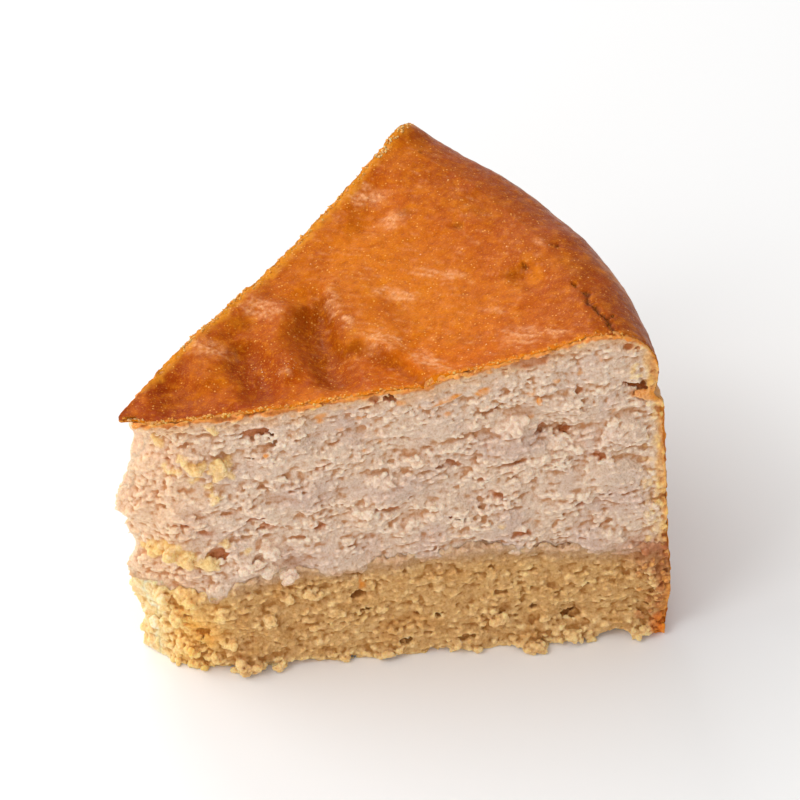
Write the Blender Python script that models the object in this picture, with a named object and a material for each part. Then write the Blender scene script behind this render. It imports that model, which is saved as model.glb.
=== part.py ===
"""A slice of baked cheesecake: a torn cream filling under a browned skin, on a sponge base.

The slice is shaped in millimetres about the centre of the round cake, with X along the middle
of the slice. It is then moved so that it stands on Z = 0 with the origin under its middle.
Each solid is a closed grid. A place on it is three shares from 0 to 1: along, from the pointed
end to the outer side; across, from the near cut to the far cut; and up, from bottom to top.
"""
import math

import bmesh
import bpy
from mathutils import Vector, noise

MM = 0.001
COLLECTION = "cheesecake_slice"

# The slice in the round cake
SLICE_ANGLE = math.radians(45.9)
HALF_ANGLE = SLICE_ANGLE / 2.0
ORIGIN_FROM_CENTRE = 54.4

# The top: low in the middle of the cake, rising to a crest, then rolling over the rim
CENTRE_HEIGHT = 56.3
CREST_HEIGHT = 67.7
CREST_RADIUS = 87.0
CREST_STEEPNESS = 2.4
RIM_WIDTH = 11.6
RIM_HEIGHT = 12.6
RIM_END = CREST_HEIGHT - RIM_HEIGHT
RIM_SQUARENESS_NEAR = 2.8
RIM_SQUARENESS_FAR = 2.1

# The outer side from the floor up, as (height, radius), with a crease below the rolled rim
SIDE_PROFILE = ((0.0, 101.2), (4.0, 101.6), (12.0, 102.1), (24.0, 101.1), (45.0, 100.0), (56.0, 99.3))
CREASE_HEIGHT = 54.6
CREASE_HALF_HEIGHT = 2.6
CREASE_DEPTH = 1.8
CREASE_UNEVENNESS = 0.7
SIDE_WAVE = 0.35
SIDE_WAVE_LENGTH = 14.0

# The joint between base and filling, as (radius, height), wavy away from the near cut
JOINT_PROFILE = (
    (8.0, 18.2), (20.0, 15.8), (31.0, 19.0), (46.0, 20.8),
    (56.0, 22.8), (77.0, 21.0), (93.0, 17.8), (103.0, 16.9),
)
JOINT_WAVE = 1.0
JOINT_WAVE_LENGTH = 22.0
JOINT_MIDDLE_HEIGHT = 18.0
JOINT_GAP = 0.3

# The pointed end, as the radius where the cake stops: it leans to the far cut below the skin,
# and the skin, which hangs over it, leans to the near cut
TIP_RADIUS = 11.6
TIP_LEAN_TO_FAR = 4.4
TIP_LEAN_POWER = 3
SKIN_TIP_NEAR_RADIUS = 8.1
SKIN_TIP_POINT = 1.5
SKIN_TIP_LEAN_TO_NEAR = 14.0
SKIN_TIP_LEAN_POWER = 6
SKIN_TIP_HEIGHTS = (51.5, 56.3)
TIP_BULGES = (
    (0.0, 1.4), (9.0, 1.5), (15.0, 0.0), (20.5, -1.8), (23.5, -0.7), (30.0, -0.9), (33.0, -2.5),
    (35.8, -3.9), (38.6, -1.5), (43.0, -1.4), (47.0, 0.4), (51.0, 0.8), (56.3, 0.0),
)

# How far the near cut draws in towards the pointed end, as (height, depth)
ROUNDING_START = 22.0
ROUNDING_LENGTH = 12.0
ROUNDING_POWER = 1.3
ROUNDING_DEPTHS = ((0.0, 5.6), (18.0, 5.0), (30.0, 3.0), (50.0, 2.6), (57.0, 0.0))

# Folds and swellings of the skin: start and end of each as (along the near cut, in from it),
# then its half width and its height
SKIN_FOLDS = (
    ((39.7, 23.4), (40.7, 6.0), 5.0, -2.0),
    ((29.0, 20.0), (29.1, 7.0), 4.5, -1.4),
    ((16.6, 8.9), (17.5, 6.0), 6.0, -1.2),
    ((34.0, 25.0), (34.0, 10.0), 4.0, 0.7),
    ((23.5, 20.0), (22.5, 12.0), 5.0, 0.8),
    ((19.5, 20.0), (30.0, 31.0), 6.0, 0.8),
    ((48.0, 26.0), (52.0, 14.0), 8.0, 0.9),
    ((56.0, 50.0), (55.0, 44.0), 5.0, -0.8),
    ((78.4, 20.8), (79.5, 19.0), 4.0, -0.8),
    ((83.0, 40.0), (72.0, 57.0), 12.0, -1.3),
)
SKIN_WAVE = 0.35
SKIN_WAVE_LENGTH = 9.0
SKIN_OVERHANG = 0.4
SKIN_THICKNESS = 2.5

# Tears and lumps of the near cut: (along, height), (half length, half height), tilt, depth
FILLING_FEATURES = (
    ((82.4, 47.6), (8.0, 2.9), 6.0, 2.4),
    ((65.2, 47.5), (8.0, 2.4), 4.0, 1.3),
    ((96.5, 54.8), (6.5, 2.4), 20.0, 2.2),
    ((95.5, 42.5), (5.0, 5.5), -30.0, 1.3),
    ((36.0, 43.0), (6.0, 2.4), 12.0, 1.2),
    ((48.0, 51.5), (5.0, 2.2), 8.0, 1.0),
    ((21.0, 46.0), (5.0, 3.6), 0.0, -1.3),
    ((15.8, 27.3), (6.0, 3.0), -5.0, -1.5),
    ((74.0, 50.4), (3.0, 3.0), 40.0, -1.2),
    ((93.0, 45.5), (2.6, 3.6), -35.0, -1.2),
    ((31.0, 47.5), (3.0, 2.6), 0.0, -1.0),
)
BASE_FEATURES = (
    ((83.8, 6.9), (3.4, 2.6), 0.0, 1.6),
    ((46.9, 14.3), (3.0, 2.4), 0.0, 1.5),
    ((27.0, 3.0), (4.0, 4.0), 0.0, -1.3),
    ((76.3, 2.0), (4.0, 3.0), 0.0, -1.3),
    ((84.5, 2.5), (4.5, 3.0), 0.0, -0.9),
)

# Crags of the cut faces: depth, length and height of one, with finer ones at half the size
FILLING_CRAGS = (1.5, 8.0, 4.6)
BASE_CRAGS = (1.3, 5.6, 4.8)
FINE_CRAG_SHARE = 0.5
FAR_CUT_SHIFT = 300.0
CUT_REACH_POWER = 3

# The lower edge of the near cut, lifted beside the foot of the crust
LIFTED_EDGE_RADIUS = 93.0
LIFTED_EDGE_HALF_LENGTH = 6.5
LIFTED_EDGE_HEIGHT = 2.0

# Cells of the grids
CELLS_ALONG = 46
CELLS_OVER_RIM = 6
CELLS_ACROSS = 16
FILLING_CELLS_UP = 20
BASE_CELLS_UP = 8

# Limits for telling the sides of a unit grid apart, for joining flat faces and for shading
SHARE_DIGITS = 6
SIDE_SHARE = 0.9999
FLAT_ANGLE = math.radians(0.5)
SHARP_ANGLE = math.radians(50.0)


def smooth_step(low, high, value):
    """0 below low, 1 above high, and a smooth rise between them."""
    share = min(max((value - low) / (high - low), 0.0), 1.0)
    return share * share * (3.0 - 2.0 * share)


def hump(distance, half_width):
    """1 at no distance, falling smoothly to 0 at half_width."""
    share = min(abs(distance) / half_width, 1.0)
    return (1.0 - share * share) ** 2


def smooth_curve(stations, position):
    """The value at a position of a smooth curve through (position, value) stations."""
    position = min(max(position, stations[0][0]), stations[-1][0])
    last = len(stations) - 1
    index = 0
    while index < last - 1 and position > stations[index + 1][0]:
        index += 1
    (start, first), (end, second) = stations[index], stations[index + 1]
    before = stations[max(index - 1, 0)]
    after = stations[min(index + 2, last)]
    length = end - start
    slope_in = (second - before[1]) / (end - before[0]) * length
    slope_out = (after[1] - first) / (after[0] - start) * length
    t = (position - start) / length
    return (
        first * (2 * t ** 3 - 3 * t ** 2 + 1)
        + slope_in * (t ** 3 - 2 * t ** 2 + t)
        + second * (3 * t ** 2 - 2 * t ** 3)
        + slope_out * (t ** 3 - t ** 2)
    )


def direction(angle):
    """The unit direction in plan at an angle from the middle of the slice."""
    return Vector((math.cos(angle), math.sin(angle)))


NEAR_ALONG = direction(-HALF_ANGLE)
NEAR_INWARD = direction(math.pi / 2.0 - HALF_ANGLE)
FAR_INWARD = direction(HALF_ANGLE - math.pi / 2.0)


def plan_position(radius, across):
    """The plan position at a radius from the cake's centre and a share across the slice."""
    return radius * direction((2.0 * across - 1.0) * HALF_ANGLE)


def distance_to_line(point, start, end):
    """The plan distance from a point to the line between start and end."""
    start = Vector(start)
    run = Vector(end) - start
    share = (point - start).dot(run) / run.length_squared
    return (point - start - run * min(max(share, 0.0), 1.0)).length


def skin_relief(plan):
    """The folds, swellings and small waves of the skin at a plan position."""
    place = Vector((plan.dot(NEAR_ALONG), plan.dot(NEAR_INWARD)))
    relief = SKIN_WAVE * noise.noise(plan.to_3d() / SKIN_WAVE_LENGTH)
    for start, end, half_width, height in SKIN_FOLDS:
        relief += height * hump(distance_to_line(place, start, end), half_width)
    return relief


def top_height(radius, across):
    """The height of the skin: a shallow bowl, a crest and a rolled rim, with its relief."""
    rise = min(radius / CREST_RADIUS, 1.0) ** CREST_STEEPNESS
    bowl = CENTRE_HEIGHT + (CREST_HEIGHT - CENTRE_HEIGHT) * rise
    squareness = RIM_SQUARENESS_NEAR + (RIM_SQUARENESS_FAR - RIM_SQUARENESS_NEAR) * across
    over = min(max((radius - CREST_RADIUS) / RIM_WIDTH, 0.0), 1.0)
    roll = (1.0 - over ** squareness) ** (1.0 / squareness)
    return bowl - RIM_HEIGHT * (1.0 - roll) + skin_relief(plan_position(radius, across)) * roll


def joint_height(radius, across):
    """The height of the joint between base and filling."""
    plan = plan_position(radius, across)
    wave = noise.noise((plan / JOINT_WAVE_LENGTH).to_3d())
    inward = smooth_step(0.0, JOINT_WAVE_LENGTH, plan.dot(NEAR_INWARD))
    return smooth_curve(JOINT_PROFILE, radius) + JOINT_WAVE * wave * inward


def side_radius(height, across):
    """The radius of the outer side, with the crease under the rim and a slight wave."""
    plan = plan_position(CREST_RADIUS, across)
    unevenness = noise.noise(Vector((plan.y, 0.0, 0.0)) / SIDE_WAVE_LENGTH)
    crease = CREASE_DEPTH * hump(height - CREASE_HEIGHT, CREASE_HALF_HEIGHT)
    crease *= 1.0 + CREASE_UNEVENNESS * unevenness
    wave = noise.noise(Vector((plan.x, plan.y, height)) / SIDE_WAVE_LENGTH)
    return smooth_curve(SIDE_PROFILE, height) - crease + SIDE_WAVE * wave


def tip_radius(height, across):
    """The radius at which the pointed end stops."""
    below = TIP_RADIUS + TIP_LEAN_TO_FAR * (1.0 - across) ** TIP_LEAN_POWER
    skin = SKIN_TIP_NEAR_RADIUS - SKIN_TIP_POINT * across
    skin += SKIN_TIP_LEAN_TO_NEAR * across ** SKIN_TIP_LEAN_POWER
    under_skin = smooth_step(*SKIN_TIP_HEIGHTS, height)
    return below + (skin - below) * under_skin + smooth_curve(TIP_BULGES, height)


def radial_share(along):
    """The share of the way from the tip to the side: even steps, then steps round the rim."""
    crest_share = (CREST_RADIUS - TIP_RADIUS) / (CREST_RADIUS + RIM_WIDTH - TIP_RADIUS)
    rim_start = 1.0 - CELLS_OVER_RIM / CELLS_ALONG
    if along <= rim_start:
        return along / rim_start * crest_share
    turn = (along - rim_start) / (1.0 - rim_start) * math.pi / 2.0
    return crest_share + (1.0 - crest_share) * math.sin(turn)


def radius_at(along, across, height):
    """The radius of a grid line at a height."""
    tip = tip_radius(height, across)
    side = side_radius(min(height, RIM_END), across)
    return tip + (side - tip) * radial_share(along)


def crag_depth(along, height, crags):
    """The torn relief of a cut face, in two sizes."""
    depth, length, rise = crags
    coarse = noise.noise(Vector((along / length, height / rise, depth)))
    fine = noise.noise(Vector((2.0 * along / length, 2.0 * height / rise, -depth)))
    return depth * (coarse + FINE_CRAG_SHARE * fine)


def feature_depth(along, height, features):
    """The depth of the tears, less the height of the lumps, at a place on the near cut."""
    total = 0.0
    for (at_along, at_height), (half_length, half_height), tilt, depth in features:
        cosine = math.cos(math.radians(tilt))
        sine = math.sin(math.radians(tilt))
        lengthwise = (along - at_along) * cosine + (height - at_height) * sine
        upright = (height - at_height) * cosine - (along - at_along) * sine
        total += depth * hump(math.hypot(lengthwise / half_length, upright / half_height), 1.0)
    return total


def rounding_depth(along, height):
    """How far the near cut draws in towards the pointed end."""
    share = max(ROUNDING_START - along, 0.0) / ROUNDING_LENGTH
    return smooth_curve(ROUNDING_DEPTHS, height) * share ** ROUNDING_POWER


def moved_in(radius, across, height, near, far):
    """A grid corner, moved into the food by the depths of the near and the far cut."""
    plan = plan_position(radius, across)
    plan += NEAR_INWARD * near * (1.0 - across) ** CUT_REACH_POWER
    plan += FAR_INWARD * far * across ** CUT_REACH_POWER
    return Vector((plan.x - ORIGIN_FROM_CENTRE, plan.y, height))


def place_filling(along, across, up):
    """The position of a corner of the filling's grid, in millimetres."""
    high = top_height(radius_at(along, across, CREST_HEIGHT), across)
    low_radius = radius_at(along, across, JOINT_MIDDLE_HEIGHT)
    low = joint_height(low_radius, across) + JOINT_GAP / 2.0
    height = low + (high - low) * up
    radius = radius_at(along, across, height)
    below_skin = smooth_step(0.0, SKIN_THICKNESS, high - height)
    torn = smooth_step(0.0, 2.0 * SKIN_THICKNESS, high - height)
    near = crag_depth(radius, height, FILLING_CRAGS) + feature_depth(radius, height, FILLING_FEATURES)
    far = crag_depth(radius + FAR_CUT_SHIFT, height, FILLING_CRAGS)
    near = near * torn + SKIN_OVERHANG * below_skin + rounding_depth(radius, height)
    far = far * torn + SKIN_OVERHANG * below_skin
    return moved_in(radius, across, height, near, far)


def place_base(along, across, up):
    """The position of a corner of the base's grid, in millimetres."""
    low_radius = radius_at(along, across, JOINT_MIDDLE_HEIGHT)
    high = joint_height(low_radius, across) - JOINT_GAP / 2.0
    low = 0.0
    if across == 0.0:
        low = LIFTED_EDGE_HEIGHT * hump(low_radius - LIFTED_EDGE_RADIUS, LIFTED_EDGE_HALF_LENGTH)
    height = low + (high - low) * up
    radius = radius_at(along, across, height)
    near = crag_depth(radius, height, BASE_CRAGS) + feature_depth(radius, height, BASE_FEATURES)
    far = crag_depth(radius + FAR_CUT_SHIFT, height, BASE_CRAGS)
    return moved_in(radius, across, height, near + rounding_depth(radius, height), far)


def unit_grid(cells):
    """A closed unit block whose six sides are grids of quads, with one corner at the origin."""
    block = bmesh.new()
    bmesh.ops.create_cube(block, size=1.0)
    bmesh.ops.translate(block, verts=block.verts, vec=(0.5, 0.5, 0.5))
    for axis, count in enumerate(cells):
        edges = []
        for edge in block.edges:
            run = edge.verts[1].co - edge.verts[0].co
            if abs(run[axis]) > 0.5:
                edges.append(edge)
        bmesh.ops.subdivide_edges(block, edges=edges, cuts=count - 1, use_grid_fill=True)
    return block


def brown(block, axes):
    """Give the second material to the sides of a unit grid at the far ends of the axes."""
    for face in block.faces:
        middle = face.calc_center_median()
        if any(middle[axis] > SIDE_SHARE for axis in axes):
            face.material_index = 1


def shape(block, place):
    """Send each corner of a unit grid to its place."""
    for vertex in block.verts:
        shares = [round(share, SHARE_DIGITS) for share in vertex.co]
        vertex.co = place(*shares) * MM


def join_underside(block):
    """Join the faces that lie flat on the floor into one."""
    flat = {face for face in block.faces if all(vertex.co.z == 0.0 for vertex in face.verts)}
    edges = {edge for face in flat for edge in face.edges if flat.issuperset(edge.link_faces)}
    corners = {vertex for edge in edges for vertex in edge.verts}
    bmesh.ops.dissolve_limit(block, angle_limit=FLAT_ANGLE, verts=list(corners), edges=list(edges))


def food_material(name, colour, roughness):
    """A plain food material."""
    material = bpy.data.materials.new(name)
    material.use_nodes = True
    shader = material.node_tree.nodes["Principled BSDF"]
    shader.inputs["Base Color"].default_value = (*colour, 1.0)
    shader.inputs["Roughness"].default_value = roughness
    shader.inputs["Metallic"].default_value = 0.0
    return material


def food_object(name, block, materials, collection):
    """An object from a shaped grid, smooth except at its cut edges."""
    mesh = bpy.data.meshes.new(name)
    for material in materials:
        mesh.materials.append(material)
    block.to_mesh(mesh)
    block.free()
    mesh.shade_smooth()
    mesh.set_sharp_from_angle(angle=SHARP_ANGLE)
    collection.objects.link(bpy.data.objects.new(name, mesh))


def make_filling(collection):
    """The torn cream, browned on its top and its outer side."""
    cream = food_material("torn_cream", (0.62, 0.42, 0.31), 0.55)
    skin = food_material("browned_skin", (0.50, 0.13, 0.015), 0.35)
    block = unit_grid((CELLS_ALONG, CELLS_ACROSS, FILLING_CELLS_UP))
    brown(block, axes=(0, 2))
    shape(block, place_filling)
    food_object("filling", block, (cream, skin), collection)


def make_base(collection):
    """The sponge, browned on its outer side."""
    sponge = food_material("sponge_crumb", (0.50, 0.27, 0.10), 0.85)
    crust = food_material("browned_crust", (0.42, 0.15, 0.03), 0.7)
    block = unit_grid((CELLS_ALONG, CELLS_ACROSS, BASE_CELLS_UP))
    brown(block, axes=(0,))
    shape(block, place_base)
    join_underside(block)
    food_object("base", block, (sponge, crust), collection)


def main():
    for item in list(bpy.data.objects):
        bpy.data.objects.remove(item, do_unlink=True)
    collection = bpy.data.collections.new(COLLECTION)
    bpy.context.scene.collection.children.link(collection)
    make_filling(collection)
    make_base(collection)


main()
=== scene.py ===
"""A slice of baked cheesecake on a pale floor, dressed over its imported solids.

The cream and the sponge are carved in blocks of voxels that start as the distance to their
solids. Each block lies along one cut of the slice, so a place in it is (along the cut, in from
it, up). The browned skin is a thin closed sheet from the pointed end over the top and the rim
and down the outer side. Lengths are in millimetres, about the centre of the round cake, until
a mesh is made.
"""

import math
from collections import defaultdict

import bmesh
import bpy
import numpy as np
import openvdb
from mathutils import Matrix, Vector


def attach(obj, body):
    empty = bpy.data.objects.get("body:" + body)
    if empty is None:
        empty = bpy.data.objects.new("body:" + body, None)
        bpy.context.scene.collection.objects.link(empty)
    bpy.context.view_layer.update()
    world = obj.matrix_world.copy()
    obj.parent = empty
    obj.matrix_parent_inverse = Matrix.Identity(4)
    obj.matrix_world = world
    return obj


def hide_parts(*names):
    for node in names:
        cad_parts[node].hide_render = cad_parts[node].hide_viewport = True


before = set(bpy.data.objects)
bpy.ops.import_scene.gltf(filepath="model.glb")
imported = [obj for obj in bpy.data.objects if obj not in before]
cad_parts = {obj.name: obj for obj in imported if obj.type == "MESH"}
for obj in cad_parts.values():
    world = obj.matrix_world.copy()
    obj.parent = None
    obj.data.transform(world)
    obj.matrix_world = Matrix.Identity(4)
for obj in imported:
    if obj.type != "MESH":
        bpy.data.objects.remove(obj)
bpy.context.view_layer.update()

MM = 0.001

# The camera and its aim point, in the slice's frame
CAMERA_AZIMUTH = -30.53
CAMERA_ELEVATION = 38.25
CAMERA_DISTANCE = 900.0
CAMERA_AIM = (16.27, 14.51, 25.0)
LENS = 225.3
SENSOR = 36.0

# The slice in the round cake
SLICE_ANGLE = math.radians(45.9)
ORIGIN_FROM_CENTRE = 54.4
CENTRE_HEIGHT = 56.3
CREST_HEIGHT = 67.7
CREST_RADIUS = 87.0
CREST_STEEPNESS = 2.4
RIM_WIDTH = 11.6
RIM_HEIGHT = 12.6
RIM_END = CREST_HEIGHT - RIM_HEIGHT
RIM_SQUARENESS = (2.8, 2.1)
SIDE_PROFILE = ((0.0, 101.2), (4.0, 101.6), (12.0, 102.1), (24.0, 101.1), (45.0, 100.0), (56.0, 99.3))
JOINT_PROFILE = (
    (8.0, 18.2), (20.0, 15.8), (31.0, 19.0), (46.0, 20.8),
    (56.0, 22.8), (77.0, 21.0), (93.0, 17.8), (103.0, 16.9),
)
# The height of the seam that shows between cream and sponge, by radius
SEAM_PROFILE = (
    (7.0, 21.0), (9.0, 19.6), (12.0, 18.6), (14.5, 16.2), (19.6, 16.6), (24.3, 18.3), (31.4, 19.9),
    (36.1, 21.2), (44.3, 20.7), (57.5, 21.8), (68.0, 22.4), (75.0, 21.9), (82.0, 20.7), (89.2, 20.0),
    (98.0, 19.8), (103.0, 18.5),
)
SKIN_TIP_RADIUS = 8.1

# The crease under the rim: depth, height and reach, and how much and how often the depth varies across
RIM_CREASE = (1.8, 54.6, 2.6, 0.35, 9.0)

# How far the rim swells out near the near cut, at what height and over what reach
RIM_SWELL = 0.8
RIM_SWELL_HEIGHT = 58.3
RIM_SWELL_REACH = 5.5

# The lifted lip of skin at the far corner: its place, reach and height
LIP_PLACE = (63.6, 65.4)
LIP_REACH = 6.0
LIP_HEIGHT = 1.3

# Folds of the skin: start and end as (along the near cut, in from it), half width, height
SKIN_FOLDS = (
    ((42.8, 23.0), (43.8, 7.0), 4.8, -1.6), ((29.6, 16.0), (31.0, 5.0), 4.4, -1.3),
    ((16.6, 8.9), (17.5, 6.0), 6.0, -1.1), ((35.5, 25.0), (35.5, 10.0), 4.0, 0.8),
    ((33.0, 29.5), (38.0, 26.0), 3.0, 0.6), ((23.5, 20.0), (22.5, 12.0), 5.0, 0.8),
    ((19.5, 20.0), (30.0, 31.0), 6.0, 0.8), ((48.0, 26.0), (52.0, 14.0), 8.0, 0.9),
    ((56.0, 50.0), (55.0, 44.0), 5.0, -0.8), ((78.4, 20.8), (79.5, 19.0), 4.0, -0.8),
    ((83.0, 40.0), (72.0, 57.0), 12.0, -1.3),
)

# How far the forms laid out on the skin are shifted at random, over which size of noise
WANDER = 1.3
WANDER_SIZE = 7.0
WANDER_SHIFTS = (31.0, 37.0)

# A ledge of the skin, as places (along, in) with the low side on the left of the way along it
LEDGE = (
    (63.5, -1.0), (60.0, 1.1), (57.0, 4.6), (54.9, 7.2), (52.7, 9.6), (50.9, 12.0), (48.8, 13.2),
    (46.1, 13.6), (44.9, 16.7), (44.3, 21.7), (44.4, 25.4), (44.3, 32.0),
)
# Its drop, how far off that fades out, over which gap it drops, and where it ends in from the near cut
LEDGE_DROP = 1.0
LEDGE_REACH = 9.0
LEDGE_EDGE = (0.9, -0.7)
LEDGE_END = (33.0, 27.0)
# The lip on the ledge's high side: its height, how far off it is and its reach
LEDGE_LIP = (0.35, 1.2, 2.4)

# Cracks of the skin, as places (along, in) from one end to the other
CRACKS = (
    ((91.2, 0.2), (90.4, 2.7), (90.0, 4.9), (88.8, 6.4), (88.6, 8.4)),
    ((88.6, 8.4), (87.3, 9.2), (87.7, 10.8)),
    ((90.0, 4.9), (91.2, 5.6)),
    ((86.4, 14.6), (85.9, 15.3)),
    ((78.7, 23.8), (79.5, 23.2)),
    ((84.4, 26.9), (85.4, 26.5)),
    ((88.2, 11.8), (87.4, 12.8)),
)
CRACK_WIDTH = 0.45

# The blocks by node and whether at the far cut: two corners, voxel, quick voxel, seed of the scatter
BLOCKS = {
    ("filling", False): ((5.0, -2.0, 13.0), (102.5, 8.5, 69.0), 0.25, 0.5, 5),
    ("filling", True): ((-1.0, -1.5, 13.0), (104.0, 76.0, 70.0), 0.45, 0.8, 23),
    ("base", False): ((5.0, -3.0, -1.0), (104.5, 8.5, 26.0), 0.23, 0.5, 13),
    ("base", True): ((-1.0, -1.5, -1.0), (105.0, 76.0, 26.0), 0.45, 0.8, 31),
}
# How far the noise of each solid is shifted at the far cut
FAR_SHIFTS = {"filling": 40.0, "base": 60.0}
# How far off a solid its distance is known, and how near the surface noise reaches
BAND = 2.6
ROUGH_REACH = 1.6
# How far from the joint a solid's section is taken, to be carried on to the seam
JOINT_CLEAR = 1.5
# How far in from the near cut its pieces end and the far cut's begin
NEAR_END = 7.0
FAR_START = 6.0
# How much the far cut's meshes are thinned out where they are plain
FAR_PLAINNESS = 0.02
# The least half width of a lump or hole that the voxels can hold
LEAST_RADIUS = 0.21
# The least and most of each of a crumb's radii, as shares of its size
CRUMB_FORM = ((0.8, 1.5), (0.7, 1.0), (0.6, 1.2))
# How far a feature that stands out is sunk in, as a share of its depth
FEATURE_SINK = 0.45
# How softly forms join the surface: features and crumbs in mm, scattered ones by their least radius
FEATURE_SOFTNESS = 0.35
CRUMB_SOFTNESS = 0.12
CARVED_SOFTNESS = 0.9
ADDED_SOFTNESS = 0.6
# How far round a place the food is counted for its colour, to find fine and wide relief for the painted
# highlights and shade
CLOSE_REACH = 0.6
WIDE_REACH = 1.6
# How far cream and sponge lap over each other at the seam, and how softly each ends
SEAM_LAP = 1.2
SEAM_BEVEL = 0.8
# The unevenness of the seam: amount, size and shift of each noise
SEAM_NOISES = ((1.0, 4.2, 0.0), (0.9, 1.9, 0.0), (0.6, 0.8, 0.0))
# The radii over which the rim's swell sets in, and the one from which the cream allows for it
RIM_SWELL_RADII = (94.0, 97.0)
RIM_FROM = 92.0
# The most that any part of a colour reaches
MOST_PALE = 0.97
# A distance greater than any on the skin
FAR_AWAY = 1.0e3

# The tones of the food by name, as sRGB in steps of 255
# Some tones are painted light and shade: paler cream and sponge as highlights on raised crumbs and curds,
# paler cream towards the lit pointed end, warm shade inside tears, the sponge's lit pointed end, shade in
# the skin's fold valleys and below its ledge, and sheen and glints on the skin
TONES = {
    "cream": (230, 205, 183), "cream shade": (219, 192, 175), "cream crumb highlight": (246, 222, 198),
    "smear": (217, 192, 174), "lit cream tip": (246, 204, 160), "cream golden": (248, 206, 136),
    "cream side": (220, 146, 56), "under skin": (226, 174, 116), "close under skin": (214, 130, 34),
    "cream by sponge": (194, 150, 106), "cream corner": (188, 116, 72), "gap": (188, 102, 34),
    "curd": (254, 230, 208), "yellow": (255, 216, 132), "orange": (236, 150, 22), "stain": (190, 106, 26),
    "sponge": (215, 170, 110), "sponge shade": (205, 154, 90), "sponge crumb highlight": (246, 212, 156),
    "moist": (188, 148, 110), "sponge by cream": (206, 170, 138), "sponge lit golden": (255, 208, 124),
    "amber": (248, 182, 70), "painted_end_glow": (255, 236, 190), "painted end highlight": (255, 246, 220),
    "sponge side": (184, 106, 46), "sponge corner": (176, 104, 62), "sponge gold": (222, 146, 52),
    "light crust": (226, 160, 84), "dark crust": (168, 92, 44), "foot": (224, 122, 22),
    "pit_glow": (242, 164, 44), "sponge fleck": (226, 140, 40),
    "skin light": (226, 130, 14), "skin dark": (166, 66, 6), "skin amber": (226, 132, 20),
    "skin brown": (150, 60, 4), "skin fold browning and shade": (122, 40, 4), "skin far": (172, 76, 8),
    "skin scuffed": (226, 136, 60), "skin mark": (96, 34, 4), "skin ledge": (140, 58, 4),
    "skin crack": (72, 26, 4), "skin edge": (228, 130, 10), "skin far edge": (226, 146, 40),
    "skin underside": (190, 112, 34), "dark rim of skin": (184, 98, 20), "pale rim of skin": (232, 164, 62),
    "side": (216, 152, 76), "side patch": (184, 106, 40), "side pale": (240, 196, 124),
    "side low": (168, 94, 38), "side foot": (196, 106, 28), "side fleck": (232, 170, 92),
    "skin sheen": (255, 190, 120), "light mottle": (224, 130, 18), "dark mottle": (144, 52, 4),
    "light grain": (238, 150, 36), "dark grain": (140, 58, 4), "speck": (248, 184, 96),
    "pale speck": (240, 200, 150), "scuff_and_sheen": (246, 184, 134), "dark crumb": (196, 116, 36),
}

# Noise tables
TABLE = np.random.default_rng(11)
ORDER = np.tile(TABLE.permutation(256), 3).astype(np.int32)
GRADIENTS = TABLE.normal(size=(256, 3)).astype(np.float32)
GRADIENTS /= np.linalg.norm(GRADIENTS, axis=1, keepdims=True)
SCATTER = TABLE.uniform(-0.4, 0.4, size=(256, 3)).astype(np.float32)


def linear(red, green, blue):
    """A linear colour from an sRGB one in steps of 255."""
    share = np.array((red, green, blue)) / 255.0
    return np.where(share <= 0.04045, share / 12.92, ((share + 0.055) / 1.055) ** 2.4)


def tone(name):
    """A named colour of the food, as a linear one."""
    return linear(*TONES[name])


def smooth_step(low, high, value):
    """0 below low, 1 above high, and a smooth rise between them."""
    share = np.clip((value - low) / (high - low), 0.0, 1.0)
    return share * share * (3.0 - 2.0 * share)


def hump(distance, half_width):
    """1 at no distance, falling smoothly to 0 at half_width."""
    share = np.minimum(np.abs(distance) / half_width, 1.0)
    return (1.0 - share * share) ** 2


def blend(colours, colour, share):
    """Colours moved towards another colour by a share for each."""
    return colours + (np.asarray(colour) - colours) * np.asarray(share)[..., None]


def layered(colours, *layers):
    """Colours with named tones laid over them in turn, each by its share."""
    for name, share in layers:
        colours = blend(colours, tone(name), share)
    return colours


def turned(first, second, degrees):
    """Two coordinates in axes turned by an angle from the first towards the second."""
    cosine, sine = math.cos(math.radians(degrees)), math.sin(math.radians(degrees))
    return first * cosine + second * sine, second * cosine - first * sine


def lattice(cell):
    """A number from 0 to 255 for each whole-numbered cell."""
    cell = cell & 255
    first = ORDER[cell[:, 0]] + cell[:, 1]
    return ORDER[ORDER[first] + cell[:, 2]]


def swell(points):
    """Smooth noise from about -1 to 1, at points measured in cells of the noise."""
    points = np.asarray(points, np.float32)
    cell = np.floor(points).astype(np.int32)
    local = points - cell
    fade = local * local * (3.0 - 2.0 * local)
    total = np.zeros(len(points), np.float32)
    for corner in np.ndindex(2, 2, 2):
        corner = np.array(corner, np.int32)
        reach = ((local - corner) * GRADIENTS[lattice(cell + corner)]).sum(axis=1)
        total += reach * np.where(corner, fade, 1.0 - fade).prod(axis=1)
    return 1.5 * total


def lumps(points):
    """Rounded lumps, one to a cell: about -1 on top of each and 1 in the creases between."""
    points = np.asarray(points, np.float32)
    cell = np.floor(points - 0.5).astype(np.int32)
    nearest = np.full(len(points), 4.0, np.float32)
    for corner in np.ndindex(2, 2, 2):
        place = cell + np.array(corner, np.int32)
        gap = points - place - 0.5 - SCATTER[lattice(place)]
        nearest = np.minimum(nearest, (gap * gap).sum(axis=1))
    return 2.4 * np.sqrt(nearest) - 1.2


def tilted(points, tilt):
    """Points in a block's frame turned by a tilt in degrees within the plane of the cut."""
    along, inward, up = points.T
    along, up = turned(along, up, tilt)
    return np.stack((along, inward, up), axis=1)


def creases(corners, cells, shift):
    """How much of a crease between lumps lies at corners in a block's frame."""
    size, own_shift, tilt = cells
    return smooth_step(0.2, 0.75, lumps(tilted(corners, tilt) / np.asarray(size) + own_shift + shift))


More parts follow.
